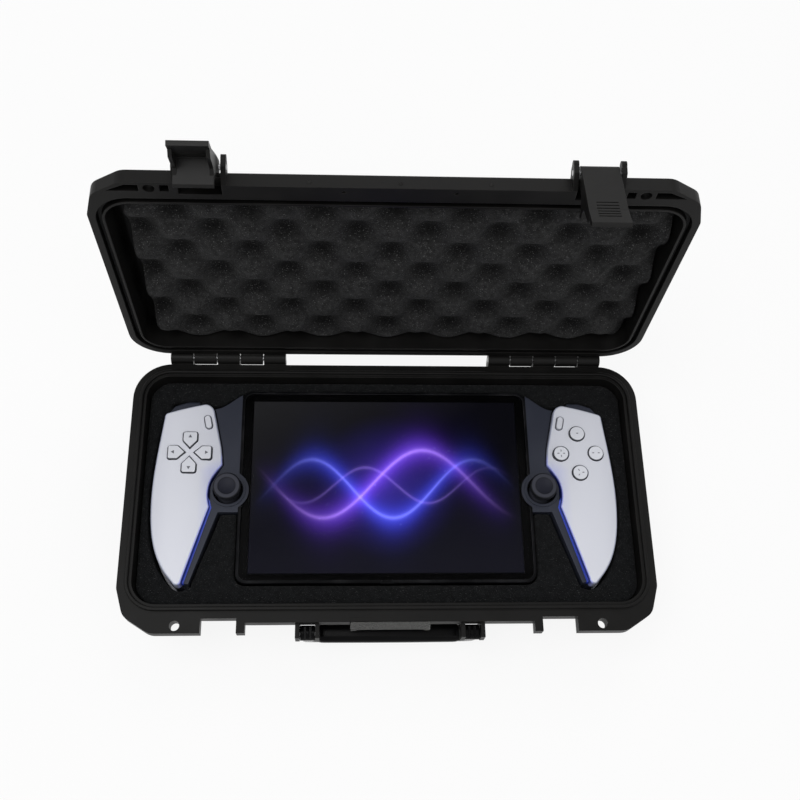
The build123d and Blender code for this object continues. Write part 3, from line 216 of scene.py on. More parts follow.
sky = bpy.data.worlds.new("studio_sky")
bpy.context.scene.world = sky
sky.use_nodes = True
plain = sky.node_tree.nodes["Background"]
plain.inputs["Color"].default_value = (1.0, 1.0, 1.0, 1.0)
sky_level = spread(sky.node_tree, seen_directly(sky.node_tree), SKY_LIGHT, SKY_SEEN)
feed(sky.node_tree, plain.inputs["Strength"], sky_level)

floor_finish, tree, shader = fresh("pale_floor")
shader.inputs["Base Color"].default_value = (0.92, 0.92, 0.92, 1.0)
shader.inputs["Roughness"].default_value = 0.9
shader.inputs["Specular IOR Level"].default_value = 0.0
glow = add(tree, "ShaderNodeEmission")
both = add(tree, "ShaderNodeMixShader")
feed(tree, both.inputs[0], calc(tree, "MULTIPLY", seen_directly(tree), FLOOR_GLOW))
feed(tree, both.inputs[1], shader.outputs[0])
feed(tree, both.inputs[2], glow.outputs[0])
feed(tree, tree.nodes["Material Output"].inputs["Surface"], both.outputs[0])

ground = bpy.data.meshes.new("studio_floor")
signs = ((-1, -1), (1, -1), (1, 1), (-1, 1))
corners = [(x * FLOOR_HALF, y * FLOOR_HALF, FLOOR_Z) for x, y in signs]
ground.from_pydata(corners, [], [(0, 1, 2, 3)])
ground.materials.append(floor_finish)
floor = bpy.data.objects.new("studio_floor", ground)
bpy.context.scene.collection.objects.link(floor)
floor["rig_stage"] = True
lamp("key_lamp", (-0.55, -0.15, 1.6), AIM, 0.9, 11.5)
lamp("fill_lamp", (0.8, -0.7, 1.2), AIM, 1.2, 3.5)
lamp("back_lamp", (0.2, 0.9, 1.3), (0, 0.05, 0.1), 0.9, 4.0)
print("stage: floor, sky and three lamps")

# %% [markdown]
# Three effects serve several finishes, so each is a node group with named sockets. Moulded
# grain is the fine texture that a spark-cut mould leaves, with slow clouds of shine over
# it. Soft edges rounds the crisp CAD edges in the shading and hands out a mask of them,
# where plastic is rubbed. Open cells is the face of cut foam: pores, lumps, and pale specks
# that are painted glints.


# %% Shared effects
def group(name, takes, gives):
    """New shader group with named sockets. Returns the tree and its two end nodes."""
    made = bpy.data.node_groups.new(name, "ShaderNodeTree")
    for label, kind in takes:
        made.interface.new_socket(label, in_out="INPUT", socket_type=kind)
    for label, kind in gives:
        made.interface.new_socket(label, in_out="OUTPUT", socket_type=kind)
    return made, made.nodes.new("NodeGroupInput"), made.nodes.new("NodeGroupOutput")


def speckle(tree, vector, scale, detail=2.0, rough=0.5):
    """Noise texture. Returns its factor."""
    node = add(tree, "ShaderNodeTexNoise")
    feed(tree, node.inputs["Vector"], vector)
    feed(tree, node.inputs["Scale"], scale)
    node.inputs["Detail"].default_value = detail
    node.inputs["Roughness"].default_value = rough
    return node.outputs[0]


VALUE = "NodeSocketFloat"
VECTOR = "NodeSocketVector"
COUNT = "NodeSocketInt"
FINISH = "NodeSocketMaterial"

grain, enter, leave = group(
    "moulded_grain",
    [("Vector", VECTOR), ("Grain", VALUE), ("Cloud", VALUE)],
    [("Height", VALUE), ("Cloud", VALUE)],
)
feed(grain, leave.inputs["Height"], speckle(grain, enter.outputs["Vector"], enter.outputs["Grain"], 3.0))
feed(grain, leave.inputs["Cloud"], speckle(grain, enter.outputs["Vector"], enter.outputs["Cloud"], 4.0, 0.6))

edges, enter, leave = group(
    "soft_edges", [("Radius", VALUE)], [("Normal", VECTOR), ("Edge", VALUE)]
)
rounding = add(edges, "ShaderNodeBevel", samples=5)
feed(edges, rounding.inputs["Radius"], enter.outputs["Radius"])
surface = add(edges, "ShaderNodeNewGeometry")
apart = add(edges, "ShaderNodeVectorMath", operation="DOT_PRODUCT")
feed(edges, apart.inputs[0], rounding.outputs["Normal"])
feed(edges, apart.inputs[1], surface.outputs["Normal"])
feed(edges, leave.inputs["Normal"], rounding.outputs["Normal"])
feed(edges, leave.inputs["Edge"], spread(edges, apart.outputs["Value"], 1.0, 0.0, 0.78, 0.99))

cells, enter, leave = group(
    "open_cells",
    [("Vector", VECTOR), ("Cells", VALUE)],
    [("Height", VALUE), ("Specks", VALUE), ("Tone", VALUE)],
)
pores = add(cells, "ShaderNodeTexVoronoi")
feed(cells, pores.inputs["Vector"], enter.outputs["Vector"])
feed(cells, pores.inputs["Scale"], enter.outputs["Cells"])
lump_scale = calc(cells, "MULTIPLY", enter.outputs["Cells"], 0.22)
lumps = speckle(cells, enter.outputs["Vector"], lump_scale, 3.0, 0.6)
feed(cells, leave.inputs["Height"], calc(cells, "ADD", pores.outputs["Distance"], lumps))
# Pale specks: painted glints where cell walls catch the light.
speck_glint_scale = calc(cells, "MULTIPLY", enter.outputs["Cells"], 1.1)
speck_glint = speckle(cells, enter.outputs["Vector"], speck_glint_scale, 1.0)
feed(cells, leave.inputs["Specks"], spread(cells, speck_glint, 0.0, 1.0, 0.64, 0.78))
feed(cells, leave.inputs["Tone"], lumps)
print("effects:", grain.name, edges.name, cells.name)

# %% [markdown]
# The case and its fittings are one family of black plastics that differ in shine: a satin
# shell, glossier latches and handle, and a soft rubber for the seal and the thumbsticks. A
# single recipe with a few values covers them, and keeps them related as they are in life.


# %% Black plastics
def object_space(tree):
    return add(tree, "ShaderNodeTexCoord").outputs["Object"]


def use(tree, effect, **values):
    """Places a shared effect in a material and sets its inputs."""
    node = add(tree, "ShaderNodeGroup", node_tree=effect)
    for name, value in values.items():
        feed(tree, node.inputs[name], value)
    return node


def bumped(tree, height, distance, strength, normal=None):
    """Bump node over a height. Returns its normal."""
    node = add(tree, "ShaderNodeBump")
    feed(tree, node.inputs["Height"], height)
    node.inputs["Distance"].default_value = distance
    node.inputs["Strength"].default_value = strength
    if normal is not None:
        feed(tree, node.inputs["Normal"], normal)
    return node.outputs["Normal"]


def moulded(name, body, rubbed, shine, dull, edge=0.5, grain_per_m=2600.0, depth=0.00005, mirror=0.16):
    """Moulded plastic: grain, clouds of shine, and edges that are rubbed smooth."""
    made, tree, shader = fresh(name)
    shader.inputs["Specular IOR Level"].default_value = mirror
    place = object_space(tree)
    skin = use(tree, grain, Vector=place, Grain=grain_per_m, Cloud=46.0)
    rim = use(tree, edges, Radius=edge * MM)
    patches = spread(tree, skin.outputs["Cloud"], 0.3, 1.0, 0.35, 0.65)
    wear = calc(tree, "MULTIPLY", rim.outputs["Edge"], patches)
    tone = calc(tree, "ADD", wear, spread(tree, skin.outputs["Cloud"], 0.0, 0.16, 0.45, 0.75))
    feed(tree, shader.inputs["Base Color"], blend_colours(tree, tone, (*body, 1), (*rubbed, 1)))
    rough = spread(tree, skin.outputs["Cloud"], shine, dull, 0.3, 0.7)
    feed(tree, shader.inputs["Roughness"], calc(tree, "SUBTRACT", rough, calc(tree, "MULTIPLY", wear, 0.08)))
    relief = bumped(tree, skin.outputs["Height"], depth, 0.5, rim.outputs["Normal"])
    feed(tree, shader.inputs["Normal"], relief)
    return made


def paint(finish, *names):
    """Gives CAD nodes a finish."""
    for name in names:
        NODES[name].data.materials.clear()
        NODES[name].data.materials.append(finish)


case_satin = moulded(
    "case_satin", (0.0052, 0.005, 0.0048), (0.024, 0.023, 0.022), 0.36, 0.48, mirror=0.1
)
latch_gloss = moulded(
    "latch_gloss", (0.006, 0.0058, 0.0056), (0.03, 0.029, 0.028), 0.32, 0.44, 0.4, mirror=0.14
)
handle_gloss = moulded(
    "handle_gloss", (0.0035, 0.0035, 0.0038), (0.014, 0.014, 0.015), 0.16, 0.26, 0.4, mirror=0.05
)
seal_rubber = moulded("seal_rubber", (0.003, 0.003, 0.0032), (0.01, 0.01, 0.01), 0.6, 0.75, 0.2)
paint(case_satin, "base_shell", "lid_shell")
paint(latch_gloss, "latch_left", "latch_right")
paint(handle_gloss, "handle")
paint(seal_rubber, "lid_seal")
print("black plastics on the shells, the latches, the handle and the seal")

# %% [markdown]
# Pins are bright drawn steel, seen only where a knuckle ends. The label strip is a clear
# moulding, so it keeps plain transmission. Its roughness has a slight cloud, and its middle
# has its own smoky tint while its edges are painted paler, a painted edge highlight.

# %% Steel pins and the clear strip
steel, tree, shader = fresh("pin_steel")
shader.inputs["Metallic"].default_value = 1.0
drawn = use(tree, grain, Vector=object_space(tree), Grain=900.0, Cloud=120.0)
tint = spread(tree, drawn.outputs["Cloud"], 0.0, 1.0)
bright = blend_colours(tree, tint, (0.36, 0.36, 0.37, 1), (0.55, 0.55, 0.56, 1))
feed(tree, shader.inputs["Base Color"], bright)
feed(tree, shader.inputs["Roughness"], spread(tree, drawn.outputs["Height"], 0.25, 0.42))
paint(steel, *[n for n in NODES if "_pin_" in n])

clear, tree, shader = fresh("label_clear")
shader.inputs["Transmission Weight"].default_value = 0.94
shader.inputs["IOR"].default_value = 1.49
haze = use(tree, grain, Vector=object_space(tree), Grain=700.0, Cloud=180.0)
feed(tree, shader.inputs["Roughness"], spread(tree, haze.outputs["Cloud"], 0.08, 0.24))
rim = use(tree, edges, Radius=0.5 * MM)
# Painted highlight: the edges are paler than the smoky tint of the middle.
smoky_and_edge_highlight = blend_colours(tree, rim.outputs["Edge"], (0.42, 0.42, 0.40, 1), (0.9, 0.9, 0.88, 1))
feed(tree, shader.inputs["Base Color"], smoky_and_edge_highlight)
paint(clear, "label_window")
print("steel on", len([n for n in NODES if "_pin_" in n]), "pins, clear strip on the label holder")

# %% [markdown]
# The lid pad is egg-crate foam: peaks and hollows in a chequer, cut by pressing a block
# through rollers. Its shape follows a rule, so Geometry Nodes make it. A closed box with
# many points is drawn in to the pad's rounded outline, and its front face then follows a
# product of two cosine waves, with a little noise because foam springs back unevenly.


# %% Egg-crate tree
def geometry_tree(name, sizes):
    """Geometry tree with named inputs. Returns the tree, its input and its output node."""
    made = bpy.data.node_groups.new(name, "GeometryNodeTree")
    made.is_modifier = True
    made.interface.new_socket("Geometry", in_out="INPUT", socket_type="NodeSocketGeometry")
    made.interface.new_socket("Geometry", in_out="OUTPUT", socket_type="NodeSocketGeometry")
    for label, kind in sizes:
        made.interface.new_socket(label, in_out="INPUT", socket_type=kind)
    return made, made.nodes.new("NodeGroupInput"), made.nodes.new("NodeGroupOutput")


def wave(tree, place, start, pitch):
    """Cosine that has a peak or a hollow at every pitch from its start."""
    from_start = calc(tree, "SUBTRACT", place, start)
    return calc(tree, "COSINE", calc(tree, "DIVIDE", calc(tree, "MULTIPLY", from_start, math.pi), pitch))


sizes = ["Length", "Width", "Corner", "Pitch", "Start X", "Start Y"]
sizes += ["Peak", "Hollow", "Back", "Unevenness"]
crate, enter, leave = geometry_tree(
    "egg_crate_pad",
    [(s, VALUE) for s in sizes] + [("Columns", COUNT), ("Rows", COUNT), ("Finish", FINISH)],
)
block = add(crate, "GeometryNodeMeshCube")
block_size = add(crate, "ShaderNodeCombineXYZ")
feed(crate, block_size.inputs["X"], enter.outputs["Length"])
feed(crate, block_size.inputs["Y"], enter.outputs["Width"])
block_size.inputs["Z"].default_value = 1.0
feed(crate, block.inputs["Size"], block_size.outputs[0])
feed(crate, block.inputs["Vertices X"], enter.outputs["Columns"])
feed(crate, block.inputs["Vertices Y"], enter.outputs["Rows"])
block.inputs["Vertices Z"].default_value = 7
at = add(crate, "ShaderNodeSeparateXYZ")
feed(crate, at.inputs[0], add(crate, "GeometryNodeInputPosition").outputs[0])
half_length = calc(crate, "MULTIPLY", enter.outputs["Length"], 0.5)
half_width = calc(crate, "MULTIPLY", enter.outputs["Width"], 0.5)
straight = calc(crate, "SUBTRACT", half_length, enter.outputs["Corner"])
beyond = calc(crate, "SUBTRACT", calc(crate, "ABSOLUTE", at.outputs["X"]), straight)
past = calc(crate, "MAXIMUM", beyond, 0.0)
corner_sq = calc(crate, "MULTIPLY", enter.outputs["Corner"], enter.outputs["Corner"])
left_over = calc(crate, "SUBTRACT", corner_sq, calc(crate, "MULTIPLY", past, past))
room = calc(crate, "MAXIMUM", left_over, 0.0)
drawn_in = calc(crate, "SUBTRACT", enter.outputs["Corner"], calc(crate, "SQRT", room))
share = calc(crate, "DIVIDE", calc(crate, "SUBTRACT", half_width, drawn_in), half_width)
across = calc(crate, "MULTIPLY", at.outputs["Y"], share)
along_wave = wave(crate, at.outputs["X"], enter.outputs["Start X"], enter.outputs["Pitch"])
across_wave = wave(crate, across, enter.outputs["Start Y"], enter.outputs["Pitch"])
chequer = calc(crate, "MULTIPLY", along_wave, across_wave)
both_levels = calc(crate, "ADD", enter.outputs["Peak"], enter.outputs["Hollow"])
middle = calc(crate, "MULTIPLY", both_levels, 0.5)
full_swing = calc(crate, "SUBTRACT", enter.outputs["Hollow"], enter.outputs["Peak"])
swing = calc(crate, "MULTIPLY", full_swing, 0.5)
face = calc(crate, "ADD", middle, calc(crate, "MULTIPLY", chequer, swing))
spring = add(crate, "ShaderNodeTexNoise")
spring.inputs["Scale"].default_value = 55.0
spring.inputs["Detail"].default_value = 2.0
about_zero = calc(crate, "SUBTRACT", spring.outputs[0], 0.5)
uneven = calc(crate, "MULTIPLY", about_zero, enter.outputs["Unevenness"])
face = calc(crate, "ADD", face, uneven)
rise = calc(crate, "ADD", at.outputs["Z"], 0.5)
thickness = calc(crate, "SUBTRACT", enter.outputs["Back"], face)
level = calc(crate, "ADD", face, calc(crate, "MULTIPLY", rise, thickness))
moved = add(crate, "ShaderNodeCombineXYZ")
feed(crate, moved.inputs["X"], at.outputs["X"])
feed(crate, moved.inputs["Y"], across)
feed(crate, moved.inputs["Z"], level)
shaped = add(crate, "GeometryNodeSetPosition")
feed(crate, shaped.inputs["Geometry"], block.outputs["Mesh"])
feed(crate, shaped.inputs["Position"], moved.outputs[0])
# How deep each point lies in a hollow is stored, so that the foam finish can paint shade into the hollows.
depth = add(crate, "GeometryNodeStoreNamedAttribute", data_type="FLOAT", domain="POINT")
feed(crate, depth.inputs["Geometry"], shaped.outputs[0])
depth.inputs["Name"].default_value = "hollow_shade"
feed(crate, depth.inputs["Value"], calc(crate, "ADD", calc(crate, "MULTIPLY", chequer, 0.5), 0.5))
whole = add(crate, "GeometryNodeRealizeInstances")
feed(crate, whole.inputs[0], depth.outputs[0])
dressed = add(crate, "GeometryNodeSetMaterial")
feed(crate, dressed.inputs["Geometry"], whole.outputs[0])
feed(crate, dressed.inputs["Material"], enter.outputs["Finish"])
feed(crate, leave.inputs[0], dressed.outputs[0])
print("egg-crate tree:", len(crate.nodes), "nodes")

# %% [markdown]
# Foam is nearly black, very rough and full of pores. A faint sheen lightens it where it
# turns away, as the cut cell walls do, and sparse pale specks are painted glints where cell
# walls catch the light.


# %% Foam finish
def foam_finish(name, body, lit, cells_per_m, speck):
    """Open-cell foam. Raised lumps get painted light, and where a pad stores how deep its hollows are, they
    get painted shade.
    """
    made, tree, shader = fresh(name)
    shader.inputs["Specular IOR Level"].default_value = 0.12
    shader.inputs["Sheen Weight"].default_value = 0.03
    shader.inputs["Sheen Roughness"].default_value = 0.5
    pores = use(tree, cells, Vector=object_space(tree), Cells=cells_per_m)
    # Painted light: where the lumps rise, the colour goes from the body tone toward the lit tone.
    lump_light = spread(tree, pores.outputs["Tone"], 0.0, 1.0, 0.35, 0.7)
    tone = blend_colours(tree, lump_light, (*body, 1), (*lit, 1))
    # Painted shade: the deeper a point lies in a hollow, the nearer its colour goes to near black.
    hollow_shade = add(tree, "ShaderNodeAttribute", attribute_name="hollow_shade").outputs["Fac"]
    shade = spread(tree, hollow_shade, 0.0, 0.93, 0.40, 0.93)
    tone = blend_colours(tree, shade, tone, (0.0015, 0.0015, 0.0016, 1))
    # Painted glints: pale specks laid over the foam colour.
    specks = calc(tree, "MULTIPLY", pores.outputs["Specks"], speck)
    feed(tree, shader.inputs["Base Color"], blend_colours(tree, specks, tone, (0.22, 0.22, 0.22, 1)))
    feed(tree, shader.inputs["Roughness"], spread(tree, pores.outputs["Tone"], 0.85, 1.0))
    feed(tree, shader.inputs["Normal"], bumped(tree, pores.outputs["Height"], 0.0006, 0.8))
    return made


CELLS_PER_M = 1500.0
lid_foam_finish = foam_finish(
    "lid_foam_cells", (0.015, 0.015, 0.0152), (0.038, 0.038, 0.0385), CELLS_PER_M, 0.75
)
base_foam_finish = foam_finish(
    "base_foam_cells", (0.003, 0.0033, 0.0037), (0.0085, 0.009, 0.0098), CELLS_PER_M, 0.3
)
print("foam finishes:", lid_foam_finish.name, base_foam_finish.name)

# %% [markdown]
# The tree runs on an empty mesh, and its result is kept as a plain mesh. The pad is drawn in
# the shut lid, level over the base, and then swung open about the hinge line. Its pattern is
# placed so that a hollow lies over each thumbstick when the case is shut.


# %% Lid pad
def grown(name, tree, values):
    """Runs a geometry tree on an empty mesh and keeps the result as a plain mesh object."""
    made = bpy.data.objects.new(name, bpy.data.meshes.new(name + "_seed"))
    bpy.context.scene.collection.objects.link(made)
    modifier = made.modifiers.new("tree", "NODES")
    modifier.node_group = tree
    for item in tree.interface.items_tree:
        if item.item_type == "SOCKET" and item.in_out == "INPUT" and item.name in values:
            modifier[item.identifier] = values[item.name]
    graph = bpy.context.evaluated_depsgraph_get()
    mesh = bpy.data.meshes.new_from_object(made.evaluated_get(graph))
    made.modifiers.clear()
    made.data = mesh
    mesh.name = name
    return made


BASE_HEIGHT = 50.0
HINGE_AT = Vector((0, 81.5, BASE_HEIGHT)) * MM
LID_OPEN_DEG = 93.7
PAD_SHIFT = 3.0
STICK_HOLLOW_X = 90.7
swing_open = (
    Matrix.Translation(HINGE_AT)
    @ Matrix.Rotation(math.radians(-LID_OPEN_DEG), 4, "X")
    @ Matrix.Translation(-HINGE_AT)
)
lid_pad = grown(
    "lid_pad",
    crate,
    {
        "Length": 278.0 * MM,
        "Width": 132.0 * MM,
        "Corner": 12.0 * MM,
        "Pitch": 18.44 * MM,
        "Start X": (STICK_HOLLOW_X - PAD_SHIFT) * MM,
        "Start Y": -1.3 * MM,
        "Peak": (BASE_HEIGHT + 4.1) * MM,
        "Hollow": (BASE_HEIGHT + 13.6) * MM,
        "Back": (BASE_HEIGHT + 18.9) * MM,
        "Unevenness": 1.2 * MM,
        "Columns": 214,
        "Rows": 102,
        "Finish": lid_foam_finish,
    },
)
lid_pad.data.transform(swing_open @ Matrix.Translation((PAD_SHIFT * MM, 0, 0)))
lid_pad.data.shade_smooth()
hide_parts("lid_foam")
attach(lid_pad, "lid")
print("lid pad:", len(lid_pad.data.polygons), "faces")

# %% [markdown]
# The bar of the handle has a soft sleeve that fills the hand, a little fatter in its middle
# and toward the case. It is drawn as one rounded outline that is repeated along the bar and
# swells between its ends, and it hangs at the same slant as the handle.


# %% Handle sleeve
def rounded_outline(y_low, y_high, z_low, z_high, radius, steps):
    """Points of a rectangle with round corners, in order."""
    points = []
    corners = ((y_high, z_high, 0), (y_low, z_high, 90), (y_low, z_low, 180), (y_high, z_low, 270))
    for corner_y, corner_z, start in corners:
        mid_y = corner_y - math.copysign(radius, corner_y - (y_low + y_high) / 2)
        mid_z = corner_z - math.copysign(radius, corner_z - (z_low + z_high) / 2)
        for step in range(steps + 1):
            angle = math.radians(start + 90 * step / steps)
            points.append((mid_y + radius * math.cos(angle), mid_z + radius * math.sin(angle)))
    return points


def lofted(name, stations, outline, centre):
    """Closed form along X: the outline, scaled about a centre at each station."""
    work = bmesh.new()
    loops = []
    mid_y, mid_z = centre
    for x, scale in stations:
        ring = [(mid_y + (y - mid_y) * scale, mid_z + (z - mid_z) * scale) for y, z in outline]
        loops.append([work.verts.new((x * MM, y * MM, z * MM)) for y, z in ring])
    count = len(outline)
    for near, far in zip(loops, loops[1:]):
        for i in range(count):
            j = (i + 1) % count
            work.faces.new((near[i], far[i], far[j], near[j]))
    work.faces.new(loops[0])
    work.faces.new(loops[-1][::-1])
    bmesh.ops.recalc_face_normals(work, faces=work.faces)
    mesh = bpy.data.meshes.new(name)
    work.to_mesh(mesh)
    work.free()
    mesh.shade_smooth()
    made = bpy.data.objects.new(name, mesh)
    bpy.context.scene.collection.objects.link(made)
    return made


HANDLE_AT = Vector((0, -83.0, 37.5)) * MM
HANDLE_LEAN_DEG = 8.0
SLEEVE_HALF = 40.5
sleeve_outline = rounded_outline(-87.7, -76.6, 11.9, 23.2, 3.6, 6)
stations = [(-SLEEVE_HALF, 0.84), (-SLEEVE_HALF + 0.6, 0.93), (-SLEEVE_HALF + 1.6, 0.97)]
stations += [(SLEEVE_HALF * i / 12, 0.98 + 0.03 * math.cos(math.pi * i / 24)) for i in range(-11, 12)]
stations += [(-x, scale) for x, scale in stations[2::-1]]
handle_sleeve = lofted("handle_sleeve", stations, sleeve_outline, (-82.6, 17.5))
handle_sleeve.data.transform(
    Matrix.Translation(HANDLE_AT)
    @ Matrix.Rotation(math.radians(HANDLE_LEAN_DEG), 4, "X")
    @ Matrix.Translation(-HANDLE_AT)
)
handle_sleeve.data.materials.append(handle_gloss)
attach(handle_sleeve, "handle")
print("handle sleeve:", len(handle_sleeve.data.polygons), "faces")

# %% [markdown]
# Three small round marks sit on the lid's front band, where the mould was filled. Each is a
# shallow dish with a raised lip, drawn as a ring of points that is turned round its middle.


# %% Mould marks on the lid
def dish(name, rings, turns):
    """Round form from rings of radius and height, closed at its middle and underneath."""
    work = bmesh.new()
    loops = []
    for radius, height in rings:
        angles = [2 * math.pi * i / turns for i in range(turns)]
        loops.append([work.verts.new((math.cos(a) * radius, math.sin(a) * radius, height)) for a in angles])
    for strip_glow, outer in zip(loops, loops[1:]):
        for i in range(turns):
            j = (i + 1) % turns
            work.faces.new((strip_glow[i], outer[i], outer[j], strip_glow[j]))
    work.faces.new(loops[0])
    work.faces.new(loops[-1][::-1])
    bmesh.ops.recalc_face_normals(work, faces=work.faces)
    mesh = bpy.data.meshes.new(name)
    work.to_mesh(mesh)
    work.free()
    mesh.shade_smooth()
    return mesh


BAND_FACE_Y = -83.6
MARK_RISE = 3.4
MARK_STEP = 43.5
MARK_RINGS = [(0.45, 0.02), (0.8, 0.12), (1.0, 0.14), (1.2, -0.1)]
rings = [(radius * MM, height * MM) for radius, height in MARK_RINGS]
for name, mark_x in (("left", -MARK_STEP), ("middle", 0.0), ("right", MARK_STEP)):
    mark = dish("mould_mark_" + name, rings, 20)
    seat = Matrix.Translation(Vector((mark_x, BAND_FACE_Y, BASE_HEIGHT + MARK_RISE)) * MM)
    stand = seat @ Matrix.Rotation(math.radians(90), 4, "X")
    mark.transform(swing_open @ stand)
    mark.materials.append(case_satin)
    made = bpy.data.objects.new("mould_mark_" + name, mark)
    bpy.context.scene.collection.objects.link(made)
    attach(made, "lid")
print("three mould marks on the lid band")

# %% [markdown]
# The base pad is a flat block with a pocket cut to the console. A knife leaves foam with a
# slightly rounded lip, so a copy of the CAD block is remeshed into small even faces and
# smoothed, and each point is then moved a little by noise. The remesh is what lets the lip
# round over, because the CAD block has only a few large faces.


# %% Base pad
def merged_copy(node, name):
    """Copy of a CAD node's mesh with its loose triangles joined."""
    mesh = NODES[node].data.copy()
    work = bmesh.new()
    work.from_mesh(mesh)
    bmesh.ops.remove_doubles(work, verts=work.verts, dist=1e-6)
    work.to_mesh(mesh)
    work.free()
    made = bpy.data.objects.new(name, mesh)
    bpy.context.scene.collection.objects.link(made)
    return made


def settled(made):
    """Applies a piece's modifiers and keeps the result as its plain mesh."""
    graph = bpy.context.evaluated_depsgraph_get()
    mesh = bpy.data.meshes.new_from_object(made.evaluated_get(graph))
    made.modifiers.clear()
    made.data = mesh
    return made


PAD_FACE = 1.25
LIP_STEPS = 3
WIDE_LUMPS, WIDE_HEIGHT = 60.0, 0.22
FINE_LUMPS, FINE_HEIGHT = 420.0, 0.10

base_pad = merged_copy("base_foam", "base_pad")
cut = base_pad.modifiers.new("even_faces", "REMESH")
cut.mode = "VOXEL"
cut.voxel_size = PAD_FACE * MM
lip = base_pad.modifiers.new("round_lip", "SMOOTH")
lip.iterations = LIP_STEPS
settled(base_pad)
places = [(point.co.copy(), point.normal.copy()) for point in base_pad.data.vertices]
for point, (place, outward) in zip(base_pad.data.vertices, places):
    lump = noise.noise(place * WIDE_LUMPS) * WIDE_HEIGHT + noise.noise(place * FINE_LUMPS) * FINE_HEIGHT
    point.co = place + outward * lump * MM
base_pad.data.materials.clear()
base_pad.data.materials.append(base_foam_finish)
base_pad.data.shade_smooth()
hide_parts("base_foam")
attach(base_pad, "base")
print("base pad:", len(base_pad.data.polygons), "faces")

# %% [markdown]
# The console is white and near-black plastic. The white covers have a very fine matte skin,
# and their slopes, mostly toward the outer side, get painted shade in a cooler, darker tone.
# The keys are clear caps over white, and their sides get painted shade where they turn away
# into the gap round each key: the slope of the face mixes the two tones. The blue light of a
# strip is painted onto the inner edge of each cover, and each thumbstick has a painted
# highlight ring round a dish of painted shade.


# %% Console plastics
def facing_up(tree):
    """How far a face looks up: 1 for level faces and 0 for upright ones."""
    parts = add(tree, "ShaderNodeSeparateXYZ")
    feed(tree, parts.inputs[0], add(tree, "ShaderNodeNewGeometry").outputs["Normal"])
    return calc(tree, "ABSOLUTE", parts.outputs["Z"])


def inward(tree, place):
    """How far a face looks toward the middle of the console, on the lower half of a grip."""
    spot = add(tree, "ShaderNodeSeparateXYZ")
    feed(tree, spot.inputs[0], place)
    looks = add(tree, "ShaderNodeSeparateXYZ")
    feed(tree, looks.inputs[0], add(tree, "ShaderNodeNewGeometry").outputs["Normal"])
    toward = calc(tree, "MULTIPLY", looks.outputs["X"], calc(tree, "SIGN", spot.outputs["X"]))
    low_half = spread(tree, spot.outputs["Y"], 1.0, 0.0, 10.0 * MM, 24.0 * MM)
    return calc(tree, "MULTIPLY", calc(tree, "MULTIPLY", toward, -1.0), low_half)


def grip_skin(name, body, slope_shade_tone, shine, dull):
    """Fine matte plastic with painted shade, cooler and darker, on its slopes, and painted blue light where
    a strip lights it.
    """
    made, tree, shader = fresh(name)
    place = object_space(tree)
    skin = use(tree, grain, Vector=place, Grain=FINE_GRAIN, Cloud=30.0)
    # Painted shade: faces that turn away from level go to the darker, cooler tone.
    slope_shade = spread(tree, facing_up(tree), 1.0, 0.0, 0.80, 0.995)
    tone = blend_colours(tree, slope_shade, (*body, 1), (*slope_shade_tone, 1))
    strip_glow = inward(tree, place)
    # Painted light: the blue of the strip is painted onto faces of the lower grip that look inward, going
    # deep blue where they look fully inward.
    tone = blend_colours(tree, spread(tree, strip_glow, 0.0, 1.0, 0.12, 0.4), tone, (0.46, 0.50, 0.95, 1))
    tone = blend_colours(tree, spread(tree, strip_glow, 0.0, 1.0, 0.5, 0.9), tone, (0.02, 0.035, 0.30, 1))
    feed(tree, shader.inputs["Base Color"], tone)
    feed(tree, shader.inputs["Roughness"], spread(tree, skin.outputs["Cloud"], shine, dull, 0.3, 0.7))
    rim = use(tree, edges, Radius=0.3 * MM)
    relief = bumped(tree, skin.outputs["Height"], 0.00003, 0.4, rim.outputs["Normal"])
    feed(tree, shader.inputs["Normal"], relief)
    return made


FINE_GRAIN = 5200.0
RUBBER_GRAIN = 3000.0
RUBBER_TONES = ((0.006, 0.0065, 0.0085), (0.045, 0.047, 0.055))
BLACK_PRINT = (0.0012, 0.0012, 0.0014, 1)
# The second colour is the painted shade of the slopes.
white_skin = grip_skin("grip_white", (0.74, 0.755, 0.83), (0.43, 0.46, 0.58), 0.34, 0.46)
dark_skin = moulded(
    "grip_dark", (0.028, 0.0315, 0.046), (0.07, 0.076, 0.10), 0.34, 0.46, 0.3, FINE_GRAIN, 0.00003
)
stick_rubber = moulded("stick_rubber", *RUBBER_TONES, 0.42, 0.56, 0.5, RUBBER_GRAIN)
tablet_edge = moulded(
    "tablet_edge", (0.0035, 0.0036, 0.0042), (0.10, 0.10, 0.11), 0.3, 0.4, 0.35, FINE_GRAIN, 0.00002, 0.03
)
for hand in ("left", "right"):
    paint(white_skin, "grip_cover_" + hand, "grip_back_" + hand)
    paint(dark_skin, "grip_frame_" + hand, "bumper_" + hand, "trigger_" + hand)
    paint(stick_rubber, "stick_yoke_" + hand)
paint(tablet_edge, "tablet_back", "tablet_frame")

tree = tablet_edge.node_tree
shader = tree.nodes["Principled BSDF"]
edge_tone = shader.inputs["Base Color"].links[0].from_socket
heights = add(tree, "ShaderNodeSeparateXYZ")
feed(tree, heights.inputs[0], object_space(tree))
rim_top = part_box("tablet_frame")[1].z
under_glass = spread(tree, heights.outputs["Z"], 1.0, 0.0, rim_top - 0.9 * MM, rim_top - 0.4 * MM)
feed(tree, shader.inputs["Base Color"], blend_colours(tree, under_glass, edge_tone, BLACK_PRINT))


